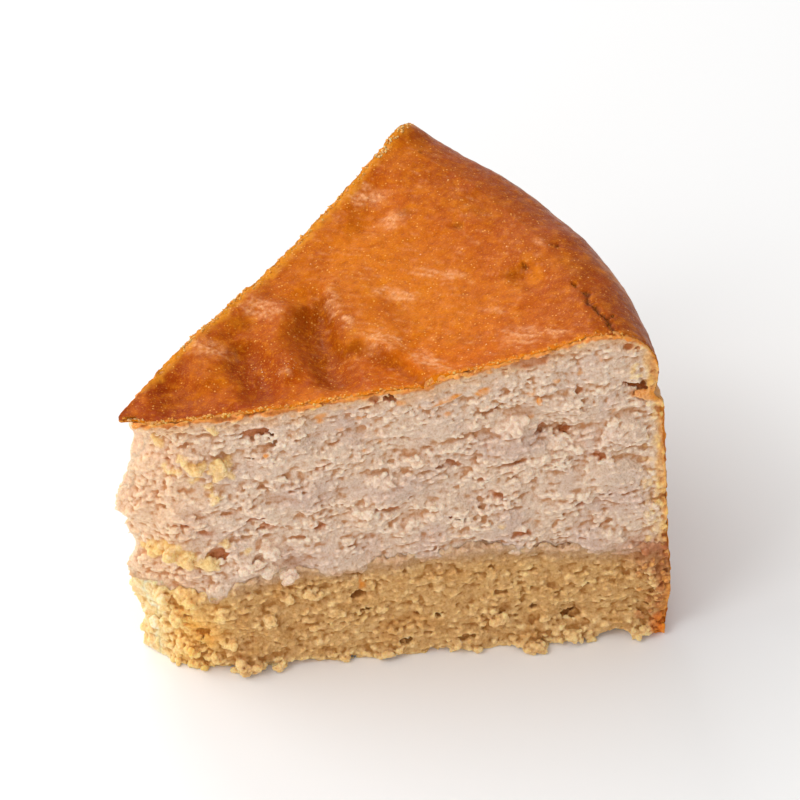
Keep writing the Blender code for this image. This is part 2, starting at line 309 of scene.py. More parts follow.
def noise_over(arrays, size, shift=0.0):
    """Smooth noise over arrays of coordinates, for one size or a size for each axis."""
    shape = np.broadcast(*arrays).shape
    points = np.zeros((int(np.prod(shape)), 3), np.float32)
    sizes = np.broadcast_to(size, len(arrays))
    for axis, part in enumerate(arrays):
        points[:, axis] = np.broadcast_to(part, shape).ravel() / sizes[axis]
    return swell(points + np.float32(shift)).reshape(shape)


def noise_sum(arrays, noises, turn=1.0):
    """A sum of smooth noises over arrays of coordinates, each an amount, a size and a shift."""
    return sum(amount * noise_over(arrays, size, shift * turn) for amount, size, shift in noises)


def nearest_gap(start, end, along, inward):
    """The way to places on the skin from the nearest place between two ends, as (along, in)."""
    run = np.subtract(end, start)
    share = ((along - start[0]) * run[0] + (inward - start[1]) * run[1]) / run.dot(run)
    share = np.clip(share, 0.0, 1.0)
    return along - start[0] - share * run[0], inward - start[1] - share * run[1]


def fold_gap(fold, along, inward):
    """How far places on the skin lie from the middle line of a fold."""
    return np.hypot(*nearest_gap(fold[0], fold[1], along, inward))


def wandering(along, inward):
    """Places on the skin shifted a little, so that the forms laid out on it are uneven."""
    shifts = [noise_over((along, inward), WANDER_SIZE, shift) for shift in WANDER_SHIFTS]
    return along + WANDER * shifts[0], inward + WANDER * shifts[1]


def line_gap(line, along, inward):
    """How far places lie from a line of places, above 0 on its right-hand side and below on its left."""
    nearest = np.full(np.broadcast(along, inward).shape, FAR_AWAY)
    for start, end in zip(line[:-1], line[1:]):
        run = np.subtract(end, start)
        off_along, off_inward = nearest_gap(start, end, along, inward)
        side = np.where(run[1] * off_along - run[0] * off_inward >= 0.0, 1.0, -1.0)
        gap = side * np.hypot(off_along, off_inward)
        nearest = np.where(np.abs(gap) < np.abs(nearest), gap, nearest)
    return nearest


def ledge(along, inward):
    """The height of the ledge: a drop on its low side that fades out, and a slight lip."""
    gap = line_gap(LEDGE, along, inward)
    fade = hump(np.minimum(gap, 0.0), LEDGE_REACH) * smooth_step(*LEDGE_END, inward)
    lip, off, reach = LEDGE_LIP
    return lip * hump(gap - off, reach) * fade - LEDGE_DROP * smooth_step(*LEDGE_EDGE, gap) * fade


def skin_folds(along, inward):
    """The height of the folds, swellings and ledge of the skin."""
    along, inward = wandering(along, inward)
    folds = sum(fold[3] * hump(fold_gap(fold, along, inward), fold[2]) for fold in SKIN_FOLDS)
    return folds + ledge(along, inward)


def on_plan(radius, across):
    """How far along the near cut, and in from it, places of the slice lie."""
    angle = across * SLICE_ANGLE
    return radius * np.cos(angle), radius * np.sin(angle)


def cut_gap(radius, across):
    """How far places lie from the nearer of the two cuts, along the round of the cake."""
    return np.minimum(across, 1.0 - across) * SLICE_ANGLE * radius


def lip_height(along, inward):
    """The height of the lifted lip of skin at the far corner."""
    return LIP_HEIGHT * hump(np.hypot(along - LIP_PLACE[0], inward - LIP_PLACE[1]), LIP_REACH)


def skin_height(radius, across):
    """The height of the skin at a radius and a share across the slice."""
    rise = np.minimum(radius / CREST_RADIUS, 1.0) ** CREST_STEEPNESS
    bowl = CENTRE_HEIGHT + (CREST_HEIGHT - CENTRE_HEIGHT) * rise
    squareness = RIM_SQUARENESS[0] + (RIM_SQUARENESS[1] - RIM_SQUARENESS[0]) * across
    over = np.clip((radius - CREST_RADIUS) / RIM_WIDTH, 0.0, 1.0)
    roll = (1.0 - over ** squareness) ** (1.0 / squareness)
    along, inward = on_plan(radius, across)
    return bowl - RIM_HEIGHT * (1.0 - roll) + skin_folds(along, inward) * roll + lip_height(along, inward)


def profile(stations, position):
    """The value at a position between (position, value) stations."""
    return np.interp(position, [s[0] for s in stations], [s[1] for s in stations])


def side_radius(height, across):
    """The radius of the outer side, with the crease under the rim."""
    height = np.minimum(height, RIM_END)
    depth, middle, reach, uneven, turns = RIM_CREASE
    crease = depth * hump(height - middle, reach) * (1.0 + uneven * np.sin(turns * across))
    return profile(SIDE_PROFILE, height) - crease


def rim_swell(height, across):
    """How far the rim swells out near the near cut."""
    return RIM_SWELL * hump(height - RIM_SWELL_HEIGHT, RIM_SWELL_REACH) * smooth_step(0.35, 0.1, across)


def share_across(along, inward, far):
    """How far across the slice places of a block lie, from 0 at the near cut to 1 at the far one."""
    share = np.arctan2(inward, along) / SLICE_ANGLE
    return np.clip(1.0 - share if far else share, 0.0, 1.0)


class Block:
    """A box of voxels along one cut, with the distance to the food's surface at each.

    The distance is above 0 outside the food. Paints are amounts of a colour at each voxel.
    """

    def __init__(self, node, far):
        """The block that holds one solid's food beside one cut."""
        low, high, fine, coarse, seed = BLOCKS[node, far]
        half = SLICE_ANGLE / 2.0
        turn = 1.0 if far else -1.0
        self.axes = np.array((
            (math.cos(half), turn * math.sin(half)),
            (math.sin(half), -turn * math.cos(half)),
        ))
        self.far = far
        self.shift = FAR_SHIFTS[node] if far else 0.0
        self.rng = np.random.default_rng(seed)
        self.voxel = fine
        self.start = np.floor(np.array(low) / self.voxel).astype(int)
        self.shape = tuple(np.ceil(np.array(high) / self.voxel).astype(int) - self.start + 1)
        lines = [(self.start[i] + np.arange(self.shape[i])) * self.voxel for i in range(3)]
        self.along, self.inward, self.up = np.meshgrid(*lines, indexing="ij", sparse=True)
        self.radius = np.hypot(self.along, self.inward)
        self.across = share_across(self.along, self.inward, far)
        self.seam = profile(SEAM_PROFILE, self.radius)
        self.paints = defaultdict(lambda: np.zeros(self.shape, np.float32))
        self.take(node)

    def take(self, node):
        """Start from a solid, with its section near the joint carried straight on to the seam."""
        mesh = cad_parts[node].data
        mesh.calc_loop_triangles()
        corners = np.empty(len(mesh.vertices) * 3, np.float32)
        mesh.vertices.foreach_get("co", corners)
        triangles = np.empty(len(mesh.loop_triangles) * 3, np.int32)
        mesh.loop_triangles.foreach_get("vertices", triangles)
        corners = corners.reshape(-1, 3) / MM
        corners[:, :2] = (corners[:, :2] + (ORIGIN_FROM_CENTRE, 0.0)) @ self.axes.T
        grid = openvdb.FloatGrid.createLevelSetFromPolygons(
            corners,
            triangles=triangles.reshape(-1, 3).astype(np.uint32),
            transform=openvdb.createLinearTransform(self.voxel),
            halfWidth=BAND / self.voxel,
        )
        values = np.empty(self.shape, np.float32)
        grid.copyToArray(values, ijk=tuple(int(i) for i in self.start))
        down = node == "filling"
        height = profile(JOINT_PROFILE, self.radius) + (JOINT_CLEAR if down else -JOINT_CLEAR)
        level = np.rint(height / self.voxel).astype(int) - self.start[2]
        steps = np.arange(self.shape[2])[None, None, :]
        index = np.maximum(steps, level) if down else np.minimum(steps, level)
        self.values = np.take_along_axis(values, np.clip(index, 0, self.shape[2] - 1), axis=2)
        self.plain = self.values.copy()

    def roughen(self, cells, amount, form=swell, shift=None):
        """Add smooth noise or lumps near the surface, in cells of a size, shift and tilt."""
        size, own_shift, tilt = cells
        band = np.nonzero(np.abs(self.values) < ROUGH_REACH)
        along = self.along[band[0], 0, 0]
        inward = self.inward[0, band[1], 0]
        up = self.up[0, 0, band[2]]
        points = tilted(np.stack((along, inward, up), axis=1), tilt)
        share = amount if np.isscalar(amount) else amount[band]
        shift = (self.shift if shift is None else shift) + own_shift
        self.values[band] += share * form(points / np.asarray(size, np.float32) + shift)

    def stamp(self, centre, radii, tilt, carve, soft, paints):
        """Add an ellipsoid to the food, or carve it out, and paint what lies in it."""
        centre = np.asarray(centre, float)
        reach = max(radii) + 1.0
        low = np.floor((centre - reach) / self.voxel).astype(int) - self.start
        high = np.ceil((centre + reach) / self.voxel).astype(int) - self.start + 1
        low = np.maximum(low, 0)
        high = np.minimum(high, self.shape)
        if np.any(high <= low):
            return
        part = tuple(slice(a, b) for a, b in zip(low, high))
        inward = self.inward[:, part[1]] - centre[1]
        along, up = turned(self.along[part[0]] - centre[0], self.up[:, :, part[2]] - centre[2], tilt)
        size = np.sqrt((along / radii[0]) ** 2 + (inward / radii[1]) ** 2 + (up / radii[2]) ** 2)
        shape = (size - 1.0) * min(radii)
        window = self.values[part]
        if carve:
            self.values[part] = -smooth_least(-window, shape, soft)
        else:
            self.values[part] = smooth_least(window, shape, soft)
        for name, amount in paints:
            painted = self.paints[name][part]
            painted += (amount - painted) * smooth_step(1.5, 1.0, size)

    def depth(self, along, up):
        """How far in the surface lies at a place on the cut."""
        row = int(round(along / self.voxel)) - self.start[0]
        level = int(round(up / self.voxel)) - self.start[2]
        inside = np.nonzero(self.values[row, :, level] < 0.0)[0]
        return (inside[0] + self.start[1]) * self.voxel if len(inside) else 0.0

    def feature(self, centre, length, height, tilt, depth, carve, paint=None, amount=1.0):
        """A tear or a lump at a place on the cut."""
        sink = 0.0 if carve else FEATURE_SINK * depth
        spot = (centre[0], self.depth(*centre) + sink, centre[1])
        paints = ((paint, amount),) if paint else ()
        self.stamp(spot, (length, depth, height), tilt, carve, FEATURE_SOFTNESS, paints)

    def crumble(self, centre, radii, paint, amount):
        """A crumb on the cut: a cluster of small lumps with one paint."""
        rng = self.rng
        for _ in range(int(8 + 9 * radii[0] * radii[1])):
            spread = np.clip(0.45 * rng.standard_normal(2), -1.0, 1.0)
            size = (0.18 + 0.42 * rng.random() ** 1.5) * min(min(radii), 1.3) + 0.08
            along, up = centre[0] + spread[0] * radii[0], centre[1] + spread[1] * radii[1]
            spot = (along, self.depth(along, up) + 0.15 * size, up)
            form = [max(size * rng.uniform(*ends), LEAST_RADIUS) for ends in CRUMB_FORM]
            shade = amount * rng.uniform(0.7, 1.0)
            self.stamp(spot, form, rng.uniform(-60, 60), False, CRUMB_SOFTNESS, ((paint, shade),))

    def scatter(self, kind, box, keep, carve=False):
        """Random ellipsoids at the surface in a box, more small ones than large ones."""
        count, sizes, form, tilts, sink, paint = kind
        near = np.abs(self.values) < 0.6 * self.voxel
        for line, least, most in zip((self.along, self.inward, self.up), *box):
            near &= (line >= least) & (line <= most)
        found = np.argwhere(near)
        rng = self.rng
        places = (found[rng.integers(len(found), size=count)] + self.start) * self.voxel
        scales = sizes[0] + (sizes[1] - sizes[0]) * rng.random(count) ** 2.5
        turns = rng.uniform(tilts[0], tilts[1], count)
        shades = rng.random(count)
        chances = rng.random(count)
        kept = self.sampled(keep, places)
        softness = CARVED_SOFTNESS if carve else ADDED_SOFTNESS
        for index in np.nonzero(chances <= kept)[0]:
            radii = [max(scales[index] * part, LEAST_RADIUS) for part in form]
            spot = places[index] + (0.0, sink * radii[1], 0.0)
            marks = [(name, least + (most - least) * shades[index]) for name, least, most in paint]
            self.stamp(spot, radii, turns[index], carve, softness * min(radii), marks)

    def fullness(self, reach):
        """How full of food the surroundings of each voxel are, from 0 to 1."""
        filled = np.clip(0.5 - self.values / self.voxel, 0.0, 1.0).astype(np.float32)
        steps = max(1, int(round(reach / self.voxel)))
        for axis in range(3):
            filled = running_mean(filled, steps, axis)
        return filled

    def sampled(self, values, corners):
        """Values at corners in the block's frame, from the voxels around each."""
        spot = corners / self.voxel - self.start
        spot = np.clip(spot, 0.0, np.array(self.shape) - 1.001)
        cell = np.floor(spot).astype(int)
        share = spot - cell
        total = np.zeros(len(corners))
        for corner in np.ndindex(2, 2, 2):
            weight = np.where(corner, share, 1.0 - share).prod(axis=1)
            index = cell + corner
            total += weight * values[index[:, 0], index[:, 1], index[:, 2]]
        return total

    def painted(self, name, corners):
        """How much of a paint lies at corners in the block's frame."""
        return np.clip(self.sampled(self.paints[name], corners), 0.0, 1.0)

    def finished(self, stem, colours_of):
        """The piece, cut off inside the slice where the other cut's piece goes on, and coloured."""
        if self.far:
            limit = FAR_START - self.radius * np.sin(self.across * SLICE_ANGLE)
        else:
            limit = self.inward - NEAR_END
        self.values = np.maximum(self.values, limit)
        grid = openvdb.FloatGrid(3.0)
        grid.copyFromArray(self.values.astype(np.float32), ijk=tuple(int(i) for i in self.start))
        plainness = FAR_PLAINNESS if self.far else 0.0
        corners, triangles, quads = grid.convertToPolygons(isovalue=0.0, adaptivity=plainness)
        corners = corners * self.voxel
        places = np.empty_like(corners)
        places[:, :2] = corners[:, :2] @ self.axes - (ORIGIN_FROM_CENTRE, 0.0)
        places[:, 2] = corners[:, 2]
        if not self.far:
            triangles = triangles[:, ::-1]
            quads = quads[:, ::-1]
        item = make_object(stem + ("_rear" if self.far else "_front"), places, (triangles, quads))
        store_colours(item, colours_of(self, corners))
        return item


def running_mean(values, steps, axis):
    """The mean over a number of steps to either side along an axis."""
    sides = [(steps + 1, steps) if part == axis else (0, 0) for part in range(3)]
    sums = np.cumsum(np.pad(values, sides, mode="edge"), axis=axis, dtype=np.float64)
    count = 2 * steps + 1
    total = sums.shape[axis]
    later = np.take(sums, np.arange(count, total), axis=axis)
    earlier = np.take(sums, np.arange(0, total - count), axis=axis)
    return ((later - earlier) / count).astype(np.float32)


def smooth_least(first, second, width):
    """The lesser of two distances, rounded where they meet."""
    share = np.clip(0.5 + 0.5 * (second - first) / width, 0.0, 1.0)
    return second + (first - second) * share - width * share * (1.0 - share)


def make_object(name, corners, face_sets):
    """A smooth-shaded object from corners in millimetres and arrays of faces."""
    mesh = bpy.data.meshes.new(name)
    face_sets = [faces for faces in face_sets if len(faces)]
    loops = np.concatenate([faces.ravel() for faces in face_sets]).astype(np.int32)
    counts = np.concatenate([np.full(len(faces), faces.shape[1]) for faces in face_sets])
    starts = np.concatenate(((0,), np.cumsum(counts)[:-1])).astype(np.int32)
    mesh.vertices.add(len(corners))
    mesh.vertices.foreach_set("co", (corners * MM).astype(np.float32).ravel())
    mesh.loops.add(len(loops))
    mesh.loops.foreach_set("vertex_index", loops)
    mesh.polygons.add(len(counts))
    mesh.polygons.foreach_set("loop_start", starts)
    mesh.update(calc_edges=True)
    mesh.validate()
    mesh.shade_smooth()
    item = bpy.data.objects.new(name, mesh)
    bpy.context.scene.collection.objects.link(item)
    return item


def store_colours(item, colours):
    """Store a colour for each corner of an object."""
    attribute = item.data.color_attributes.new("tint", "FLOAT_COLOR", "POINT")
    full = np.ones((len(colours), 4), np.float32)
    full[:, :3] = np.clip(colours, 0.0, 1.0)
    attribute.data.foreach_set("color", full.ravel())


def store_amounts(item, name, amounts):
    """Store an amount for each corner of an object."""
    attribute = item.data.attributes.new(name, "FLOAT", "POINT")
    attribute.data.foreach_set("value", amounts.astype(np.float32))


# Smooth smears of the near cut: (along, height), half length, half height, tilt
SMEARS = (
    ((47.0, 39.0), 9.0, 2.6, 8.0), ((33.0, 38.5), 6.0, 2.2, 15.0), ((26.0, 20.5), 5.5, 2.2, -5.0),
    ((58.0, 37.0), 8.0, 3.0, 5.0), ((76.0, 52.5), 5.0, 1.8, 10.0), ((92.0, 37.0), 5.5, 3.4, 30.0),
    ((93.5, 29.0), 5.0, 4.5, 60.0), ((83.0, 36.0), 4.0, 2.6, 40.0), ((72.0, 26.5), 9.0, 2.2, 0.0),
    ((37.0, 49.5), 5.0, 1.6, 12.0),
)

# Tears of the near cut: (along, height), half length, half height, tilt, depth
TEARS = (
    ((40.0, 43.7), 3.6, 0.55, 20.0, 1.2), ((35.5, 41.4), 2.0, 0.5, 24.0, 1.1),
    ((28.7, 33.5), 2.8, 0.5, 16.0, 1.2), ((16.6, 32.8), 3.6, 0.5, 4.0, 1.1),
    ((19.7, 31.2), 1.8, 0.5, -32.0, 1.0), ((30.9, 31.6), 1.7, 1.2, 10.0, 1.5),
    ((22.5, 26.3), 1.9, 1.3, 0.0, 1.4), ((30.6, 52.4), 3.6, 1.2, 4.0, 1.0),
    ((50.8, 33.5), 2.0, 0.45, 8.0, 1.0), ((53.0, 33.3), 1.8, 0.45, 5.0, 1.0),
    ((40.2, 30.4), 1.3, 0.45, 12.0, 0.9), ((68.3, 45.6), 2.6, 0.7, 12.0, 1.3),
    ((67.7, 38.3), 2.0, 0.5, 2.0, 1.2), ((70.7, 34.6), 1.7, 0.7, -15.0, 1.3),
    ((63.5, 41.8), 1.5, 0.5, -30.0, 0.9), ((68.4, 32.1), 1.4, 0.4, 20.0, 0.9),
    ((64.3, 30.2), 1.7, 0.4, -6.0, 0.9), ((75.4, 25.5), 2.0, 0.6, 4.0, 1.1),
    ((78.6, 47.4), 4.2, 0.9, -6.0, 1.2), ((82.3, 46.3), 1.6, 0.7, 0.0, 1.2),
    ((88.4, 41.1), 2.4, 0.9, -36.0, 1.3), ((85.9, 30.7), 0.7, 0.6, 0.0, 1.1),
    ((85.8, 54.0), 1.3, 0.65, 0.0, 1.1), ((84.6, 56.4), 0.9, 0.5, 0.0, 0.8),
    ((52.4, 57.8), 1.4, 0.7, 0.0, 1.6), ((49.9, 57.2), 0.9, 0.5, 10.0, 1.2),
    ((94.6, 55.8), 2.8, 0.7, -22.0, 1.6),
)

# Pale curds of the near cut: (along, height), half length, half height, tilt, how far proud
CURDS = (
    ((32.1, 46.2), 1.4, 1.3, 20.0, 0.9), ((29.7, 43.0), 0.8, 0.7, 0.0, 0.7),
    ((42.3, 46.1), 0.8, 0.7, 0.0, 0.7), ((31.6, 26.6), 1.9, 1.6, 30.0, 1.1),
    ((34.3, 20.9), 2.0, 1.3, 0.0, 1.0), ((31.3, 21.9), 1.5, 1.3, 20.0, 0.9),
    ((27.3, 23.7), 1.2, 1.6, 10.0, 0.8), ((51.2, 39.7), 2.6, 1.0, -4.0, 0.7),
    ((47.6, 33.1), 2.2, 1.1, 30.0, 0.7), ((74.0, 49.7), 1.9, 1.5, 30.0, 1.1),
    ((71.3, 48.6), 1.1, 0.9, 0.0, 0.8), ((66.8, 50.3), 1.3, 0.7, 20.0, 0.6),
    ((57.2, 44.0), 1.3, 0.9, 0.0, 0.7), ((76.6, 38.2), 2.6, 0.7, 62.0, 0.8),
    ((78.5, 41.2), 2.0, 0.8, 38.0, 0.7), ((81.3, 44.0), 2.6, 1.1, 10.0, 0.7),
    ((84.5, 42.6), 2.6, 1.1, 25.0, 0.8), ((82.0, 39.6), 1.8, 1.2, 0.0, 0.8),
    ((90.3, 45.9), 2.9, 0.7, 66.0, 0.9), ((92.2, 51.8), 1.7, 0.6, 62.0, 0.7),
    ((70.3, 33.2), 1.4, 0.7, 6.0, 0.9), ((64.7, 29.0), 1.3, 0.7, 0.0, 0.8),
    ((75.4, 26.8), 1.1, 0.7, 20.0, 0.7), ((56.4, 29.5), 1.6, 1.0, 10.0, 0.7),
    ((60.3, 33.2), 1.4, 0.9, 20.0, 0.7),
)

# Brown stains of the near cut under the skin: (along, height), half length, half height, tilt
STAINS = (
    ((52.6, 58.4), 1.7, 1.0, 0.0), ((49.6, 58.0), 0.8, 0.5, 0.0), ((76.2, 63.0), 2.8, 0.9, 8.0),
    ((95.0, 55.6), 3.0, 0.9, -18.0), ((33.0, 57.2), 2.2, 0.4, 0.0), ((41.5, 57.7), 1.3, 0.4, 4.0),
    ((24.0, 56.6), 1.6, 0.4, 0.0), ((14.0, 56.0), 2.0, 0.5, 0.0), ((93.0, 64.9), 0.7, 0.6, 0.0),
)

# The brown ribbon of crust below the crease of the rim: (along, height), half length, half height, tilt
BROWN_RIBBON = ((96.6, 54.0), 2.6, 1.0, -10.0)

# Yellow crumbs stuck to the near cut: (along, height), half length, half height
YELLOW_CRUMBS = (
    ((22.9, 46.0), 1.9, 2.0), ((18.8, 46.0), 1.5, 1.3), ((16.8, 47.4), 0.8, 1.0),
    ((13.0, 49.6), 1.2, 0.9), ((22.0, 54.3), 0.7, 0.9), ((15.3, 44.3), 1.4, 0.8),
    ((18.6, 42.4), 1.3, 0.7), ((21.3, 40.9), 1.1, 0.7), ((22.3, 38.9), 0.9, 0.7),
    ((14.2, 27.2), 3.2, 1.8), ((16.9, 25.7), 1.8, 1.4), ((20.6, 24.6), 2.0, 1.5),
    ((11.4, 26.0), 1.5, 1.6), ((23.5, 28.7), 1.4, 0.7), ((27.3, 27.0), 0.9, 0.6),
    ((71.7, 28.1), 0.45, 0.4), ((93.7, 59.8), 0.5, 1.0), ((94.4, 58.6), 0.9, 0.45),
    ((97.5, 56.9), 1.1, 0.7),
)

# Orange flecks of skin in the near cut: (along, height), half length, half height, tilt
ORANGE_FLECKS = (
    ((41.0, 55.1), 1.4, 0.6, 20.0), ((40.4, 53.6), 0.5, 0.4, 0.0), ((43.9, 51.4), 0.6, 0.4, 20.0),
    ((50.7, 48.1), 0.7, 0.3, 30.0), ((47.8, 46.6), 0.4, 0.4, 0.0), ((35.7, 55.9), 0.8, 0.4, 0.0),
    ((30.9, 48.3), 0.5, 0.3, 10.0), ((38.6, 31.4), 0.35, 0.5, 0.0), ((76.8, 56.4), 0.7, 0.5, 20.0),
    ((77.9, 54.8), 0.4, 0.8, 10.0), ((76.5, 50.9), 0.5, 0.4, 0.0), ((88.4, 62.6), 0.3, 1.0, 10.0),
    ((84.9, 59.9), 1.3, 0.4, 22.0), ((80.8, 59.0), 0.5, 0.4, 0.0), ((61.6, 56.5), 2.6, 0.5, 18.0),
    ((68.2, 57.6), 1.2, 0.6, 20.0), ((54.3, 56.6), 0.8, 0.5, 0.0), ((62.1, 53.4), 0.6, 0.4, 0.0),
    ((47.5, 53.4), 0.9, 0.4, 15.0), ((57.3, 55.4), 0.7, 0.4, 15.0), ((91.0, 50.8), 0.8, 0.4, 60.0),
    ((97.6, 54.2), 1.5, 0.8, -10.0),
)

# Painted highlight and shade: how much crests lighten and creases deepen each part of the colour
CREAM_CREST_HIGHLIGHT = (1.26, 1.3, 1.32)
CREAM_CREASE_SHADE = (0.76, 0.49, 0.28)

# The cream's paints, each also the name of its tone, and the most of it that shows
# The curds' pale tone is partly their own and partly a painted highlight
CREAM_PAINTS = (("curd", 0.7), ("yellow", 0.85), ("orange", 0.97), ("stain", 0.95))

# The noise of the cream: size of the cells, shift and tilt
CREAM_SWELLS = ((5.0, 3.4, 2.8), 3.1, 14.0)
CREAM_CLODS = ((3.0, 2.4, 2.0), 9.7, 14.0)
CREAM_STREAKS = ((2.8, 0.9, 0.5), 5.5, 16.0)
CREAM_LUMPS = ((1.15, 1.0, 0.9), 27.1, 12.0)
CREAM_GRAINS = ((0.58, 0.56, 0.52), 17.3, 0.0)
CREAM_ZONE_CELLS = (11.0, 8.0, 4.5)
CREAM_ZONE_TILT = 16.0

# Where the cream's forms are scattered: all over the cuts, at the side crust and close to the skin
CREAM_BOX = ((5.0, -2.0, 14.0), (101.5, 5.0, 66.0))
CREAM_SIDE = ((96.6, -2.0, 20.0), (102.0, 5.0, 54.0))
CREAM_EDGE = ((9.0, -2.0, 50.0), (100.5, 3.0, 68.0))

# Scattered forms: count, least and most size, proportions, tilts, sink, paints from least to most
# The slits are marked for a painted warm shade inside them
CREAM_SLITS = (150, (0.45, 1.05), (2.0, 0.5, 0.33), (-4.0, 28.0), 0.0, (("gap", 0.6, 1.0),))
CREAM_PITS = (80, (0.35, 0.8), (1.3, 0.6, 0.8), (-40.0, 40.0), 0.0, ())
# The crumbs' pale paint is a painted highlight on them
CREAM_CRUMBS = (1300, (0.35, 1.05), (1.2, 0.6, 0.85), (-30.0, 40.0), 0.35, (("pale", 0.0, 0.9),))
SIDE_CRUMBS = (300, (0.26, 0.62), (0.8, 0.7, 1.2), (-20.0, 20.0), 0.2, (("yellow", 0.2, 0.9),))
EDGE_FLECKS = (900, (0.26, 0.6), (1.1, 0.7, 0.8), (-30.0, 30.0), 0.1, (("orange", 0.2, 0.8),))
EDGE_GRAINS = (500, (0.26, 0.55), (1.1, 0.7, 0.8), (-30.0, 30.0), 0.1, (("yellow", 0.2, 0.8),))

# The cream behind the skin's roll at the near cut: least radius, half height, gap, roundness
ROLL_FILLING = (96.8, 6.5, 0.3, 0.4)


def cream_zone(along, inward, up):
    """How rough the cream is at places on a cut, from pasty to crumbly."""
    lengthwise, upright = turned(along, up, CREAM_ZONE_TILT)
    rough = noise_over((lengthwise, inward, upright), CREAM_ZONE_CELLS, 3.0)
    return np.clip(0.88 + 0.75 * rough, 0.35, 1.35)


def seam_calm(along, inward, up):
    """A share of the relief that falls towards the seam between cream and sponge."""
    seam = profile(SEAM_PROFILE, np.hypot(along, inward))
    return (0.6 + 0.4 * smooth_step(0.3, 2.4, np.abs(up - seam))).astype(np.float32)


def damped(zone, smear, amount, least):
    """An amount of relief by zone, falling to a share of it on the smears."""
    return amount * zone * (1.0 - (1.0 - least) * smear)


def smear_share(along, up):
    """How much of a smooth smear lies at a place on the near cut."""
    share = np.zeros(np.broadcast(along, up).shape, np.float32)
    for (at_along, at_up), length, height, tilt in SMEARS:
        lengthwise, upright = turned(along - at_along, up - at_up, tilt)
        share = np.maximum(share, hump(np.hypot(lengthwise / length, upright / height), 1.0))
    return share


def crust_reach(block):
    """The radius that the food inside the side crust reaches, nearly all of it at the cuts."""
    side = side_radius(block.up, block.across) + rim_swell(block.up, block.across)
    return side - 0.06 - 0.5 * smooth_step(0.8, 2.5, cut_gap(block.radius, block.across))


def seam_ragged(block):
    """The unevenness of the seam between cream and sponge at each column of a block."""
    return noise_sum((block.along, block.inward), SEAM_NOISES)


def sponge_share(corners):
    """How much of the sponge's colour a place near the seam takes: 0 in cream, 1 in sponge."""
    seam = profile(SEAM_PROFILE, np.hypot(corners[:, 0], corners[:, 1]))
    ragged = 0.9 * swell(corners / 2.6 + 71.0) + 0.8 * swell(corners / 1.1 + 77.0)
    return smooth_step(-1.1, 1.1, seam - corners[:, 2] + ragged)


def skin_over(radius, across):
    """The height of the skin over places of the slice, or just outside them where that is less."""
    return np.minimum(skin_height(radius, across), skin_height(radius + 0.15, across))


def trim_cream(block):
    """Cut the cream back below the skin, inside the side crust and above the seam."""
    top = np.broadcast_to(skin_over(block.radius, block.across), block.shape).copy()
    rim = np.nonzero(block.radius[:, :, 0] > RIM_FROM)
    radius, across = block.radius[rim], block.across[rim]
    swollen = rim_swell(block.up[0], across) * smooth_step(*RIM_SWELL_RADII, radius)
    top[rim] = skin_over(radius - swollen, across)
    top -= 0.05 + 0.95 * smooth_step(1.0, 3.0, cut_gap(block.radius, block.across))
    values = np.maximum(block.values, block.up - top)
    values = np.maximum(values, block.radius - crust_reach(block))
    over_seam = block.up - block.seam + SEAM_LAP - seam_ragged(block)
    block.values = -smooth_least(-values, over_seam, SEAM_BEVEL)


def tear_cream(block):
    """Tear the near cut open and mark the tears for a painted warm shade inside, and fill out the roll of
    the rim behind it.
    """
    for centre, length, height, tilt, depth in TEARS:
        block.feature(centre, length, height + 0.1, tilt, 0.5 * depth, True, "gap")
    least, half_height, gap, roundness = ROLL_FILLING
    filler = np.maximum(least - block.radius, np.abs(block.up - RIM_SWELL_HEIGHT) - half_height)
    block.values = smooth_least(block.values, np.maximum(filler, gap - block.inward), roundness)


def add_curds(block):
    """Set the pale curds into the near cut, their paleness partly their own and partly a painted highlight.
    """
    for centre, length, height, tilt, proud in CURDS:
        block.feature(centre, length, height, tilt, proud, False, "curd", 0.9)
        block.crumble(centre, (length, height), "curd", 1.0)


def add_flecks(block, keep):
    """Add the near cut's yellow crumbs, orange flecks and brown stains."""
    by_skin = smooth_step(1.8, 0.3, skin_height(block.radius, block.across) - block.up)
    block.scatter(SIDE_CRUMBS, CREAM_SIDE, keep)
    block.scatter(EDGE_FLECKS, CREAM_EDGE, by_skin)
    block.scatter(EDGE_GRAINS, CREAM_EDGE, by_skin)
    for centre, length, height in YELLOW_CRUMBS:
        block.crumble(centre, (length, height), "yellow", 1.0)
    for fleck in ORANGE_FLECKS:
        block.feature(*fleck, 0.35, False, "orange")
    for stain in STAINS:
        block.feature(*stain, 0.4, True, "stain")
    block.feature(*BROWN_RIBBON, 0.6, False, "orange", 0.85)


def sculpt_cream(far):
    """The torn cream beside one cut."""
    block = Block("filling", far)
    places = (block.along, block.inward, block.up)
    zone = cream_zone(*places) * seam_calm(*places)
    smear = 0.0 if far else smear_share(block.along, block.up)
    keep = damped(zone, smear, 1.0, 0.15)
    block.roughen(CREAM_SWELLS, damped(zone, smear, 0.5, 0.5))
    block.roughen(CREAM_CLODS, damped(zone, smear, 0.4, 0.15), lumps)
    block.roughen(CREAM_STREAKS, 0.13)
    if not far:
        tear_cream(block)
    block.scatter(CREAM_SLITS, CREAM_BOX, keep, carve=True)
    block.scatter(CREAM_PITS, CREAM_BOX, keep, carve=True)
    if not far:
        add_curds(block)
    block.scatter(CREAM_CRUMBS, CREAM_BOX, keep)
    block.roughen(CREAM_LUMPS, damped(zone, smear, 0.22, 0.25), lumps)
    if not far:
        add_flecks(block, keep)
    block.roughen(CREAM_GRAINS, damped(zone, smear, 0.11, 0.6), lumps)
    trim_cream(block)
    return block.finished("cream", cream_colours)


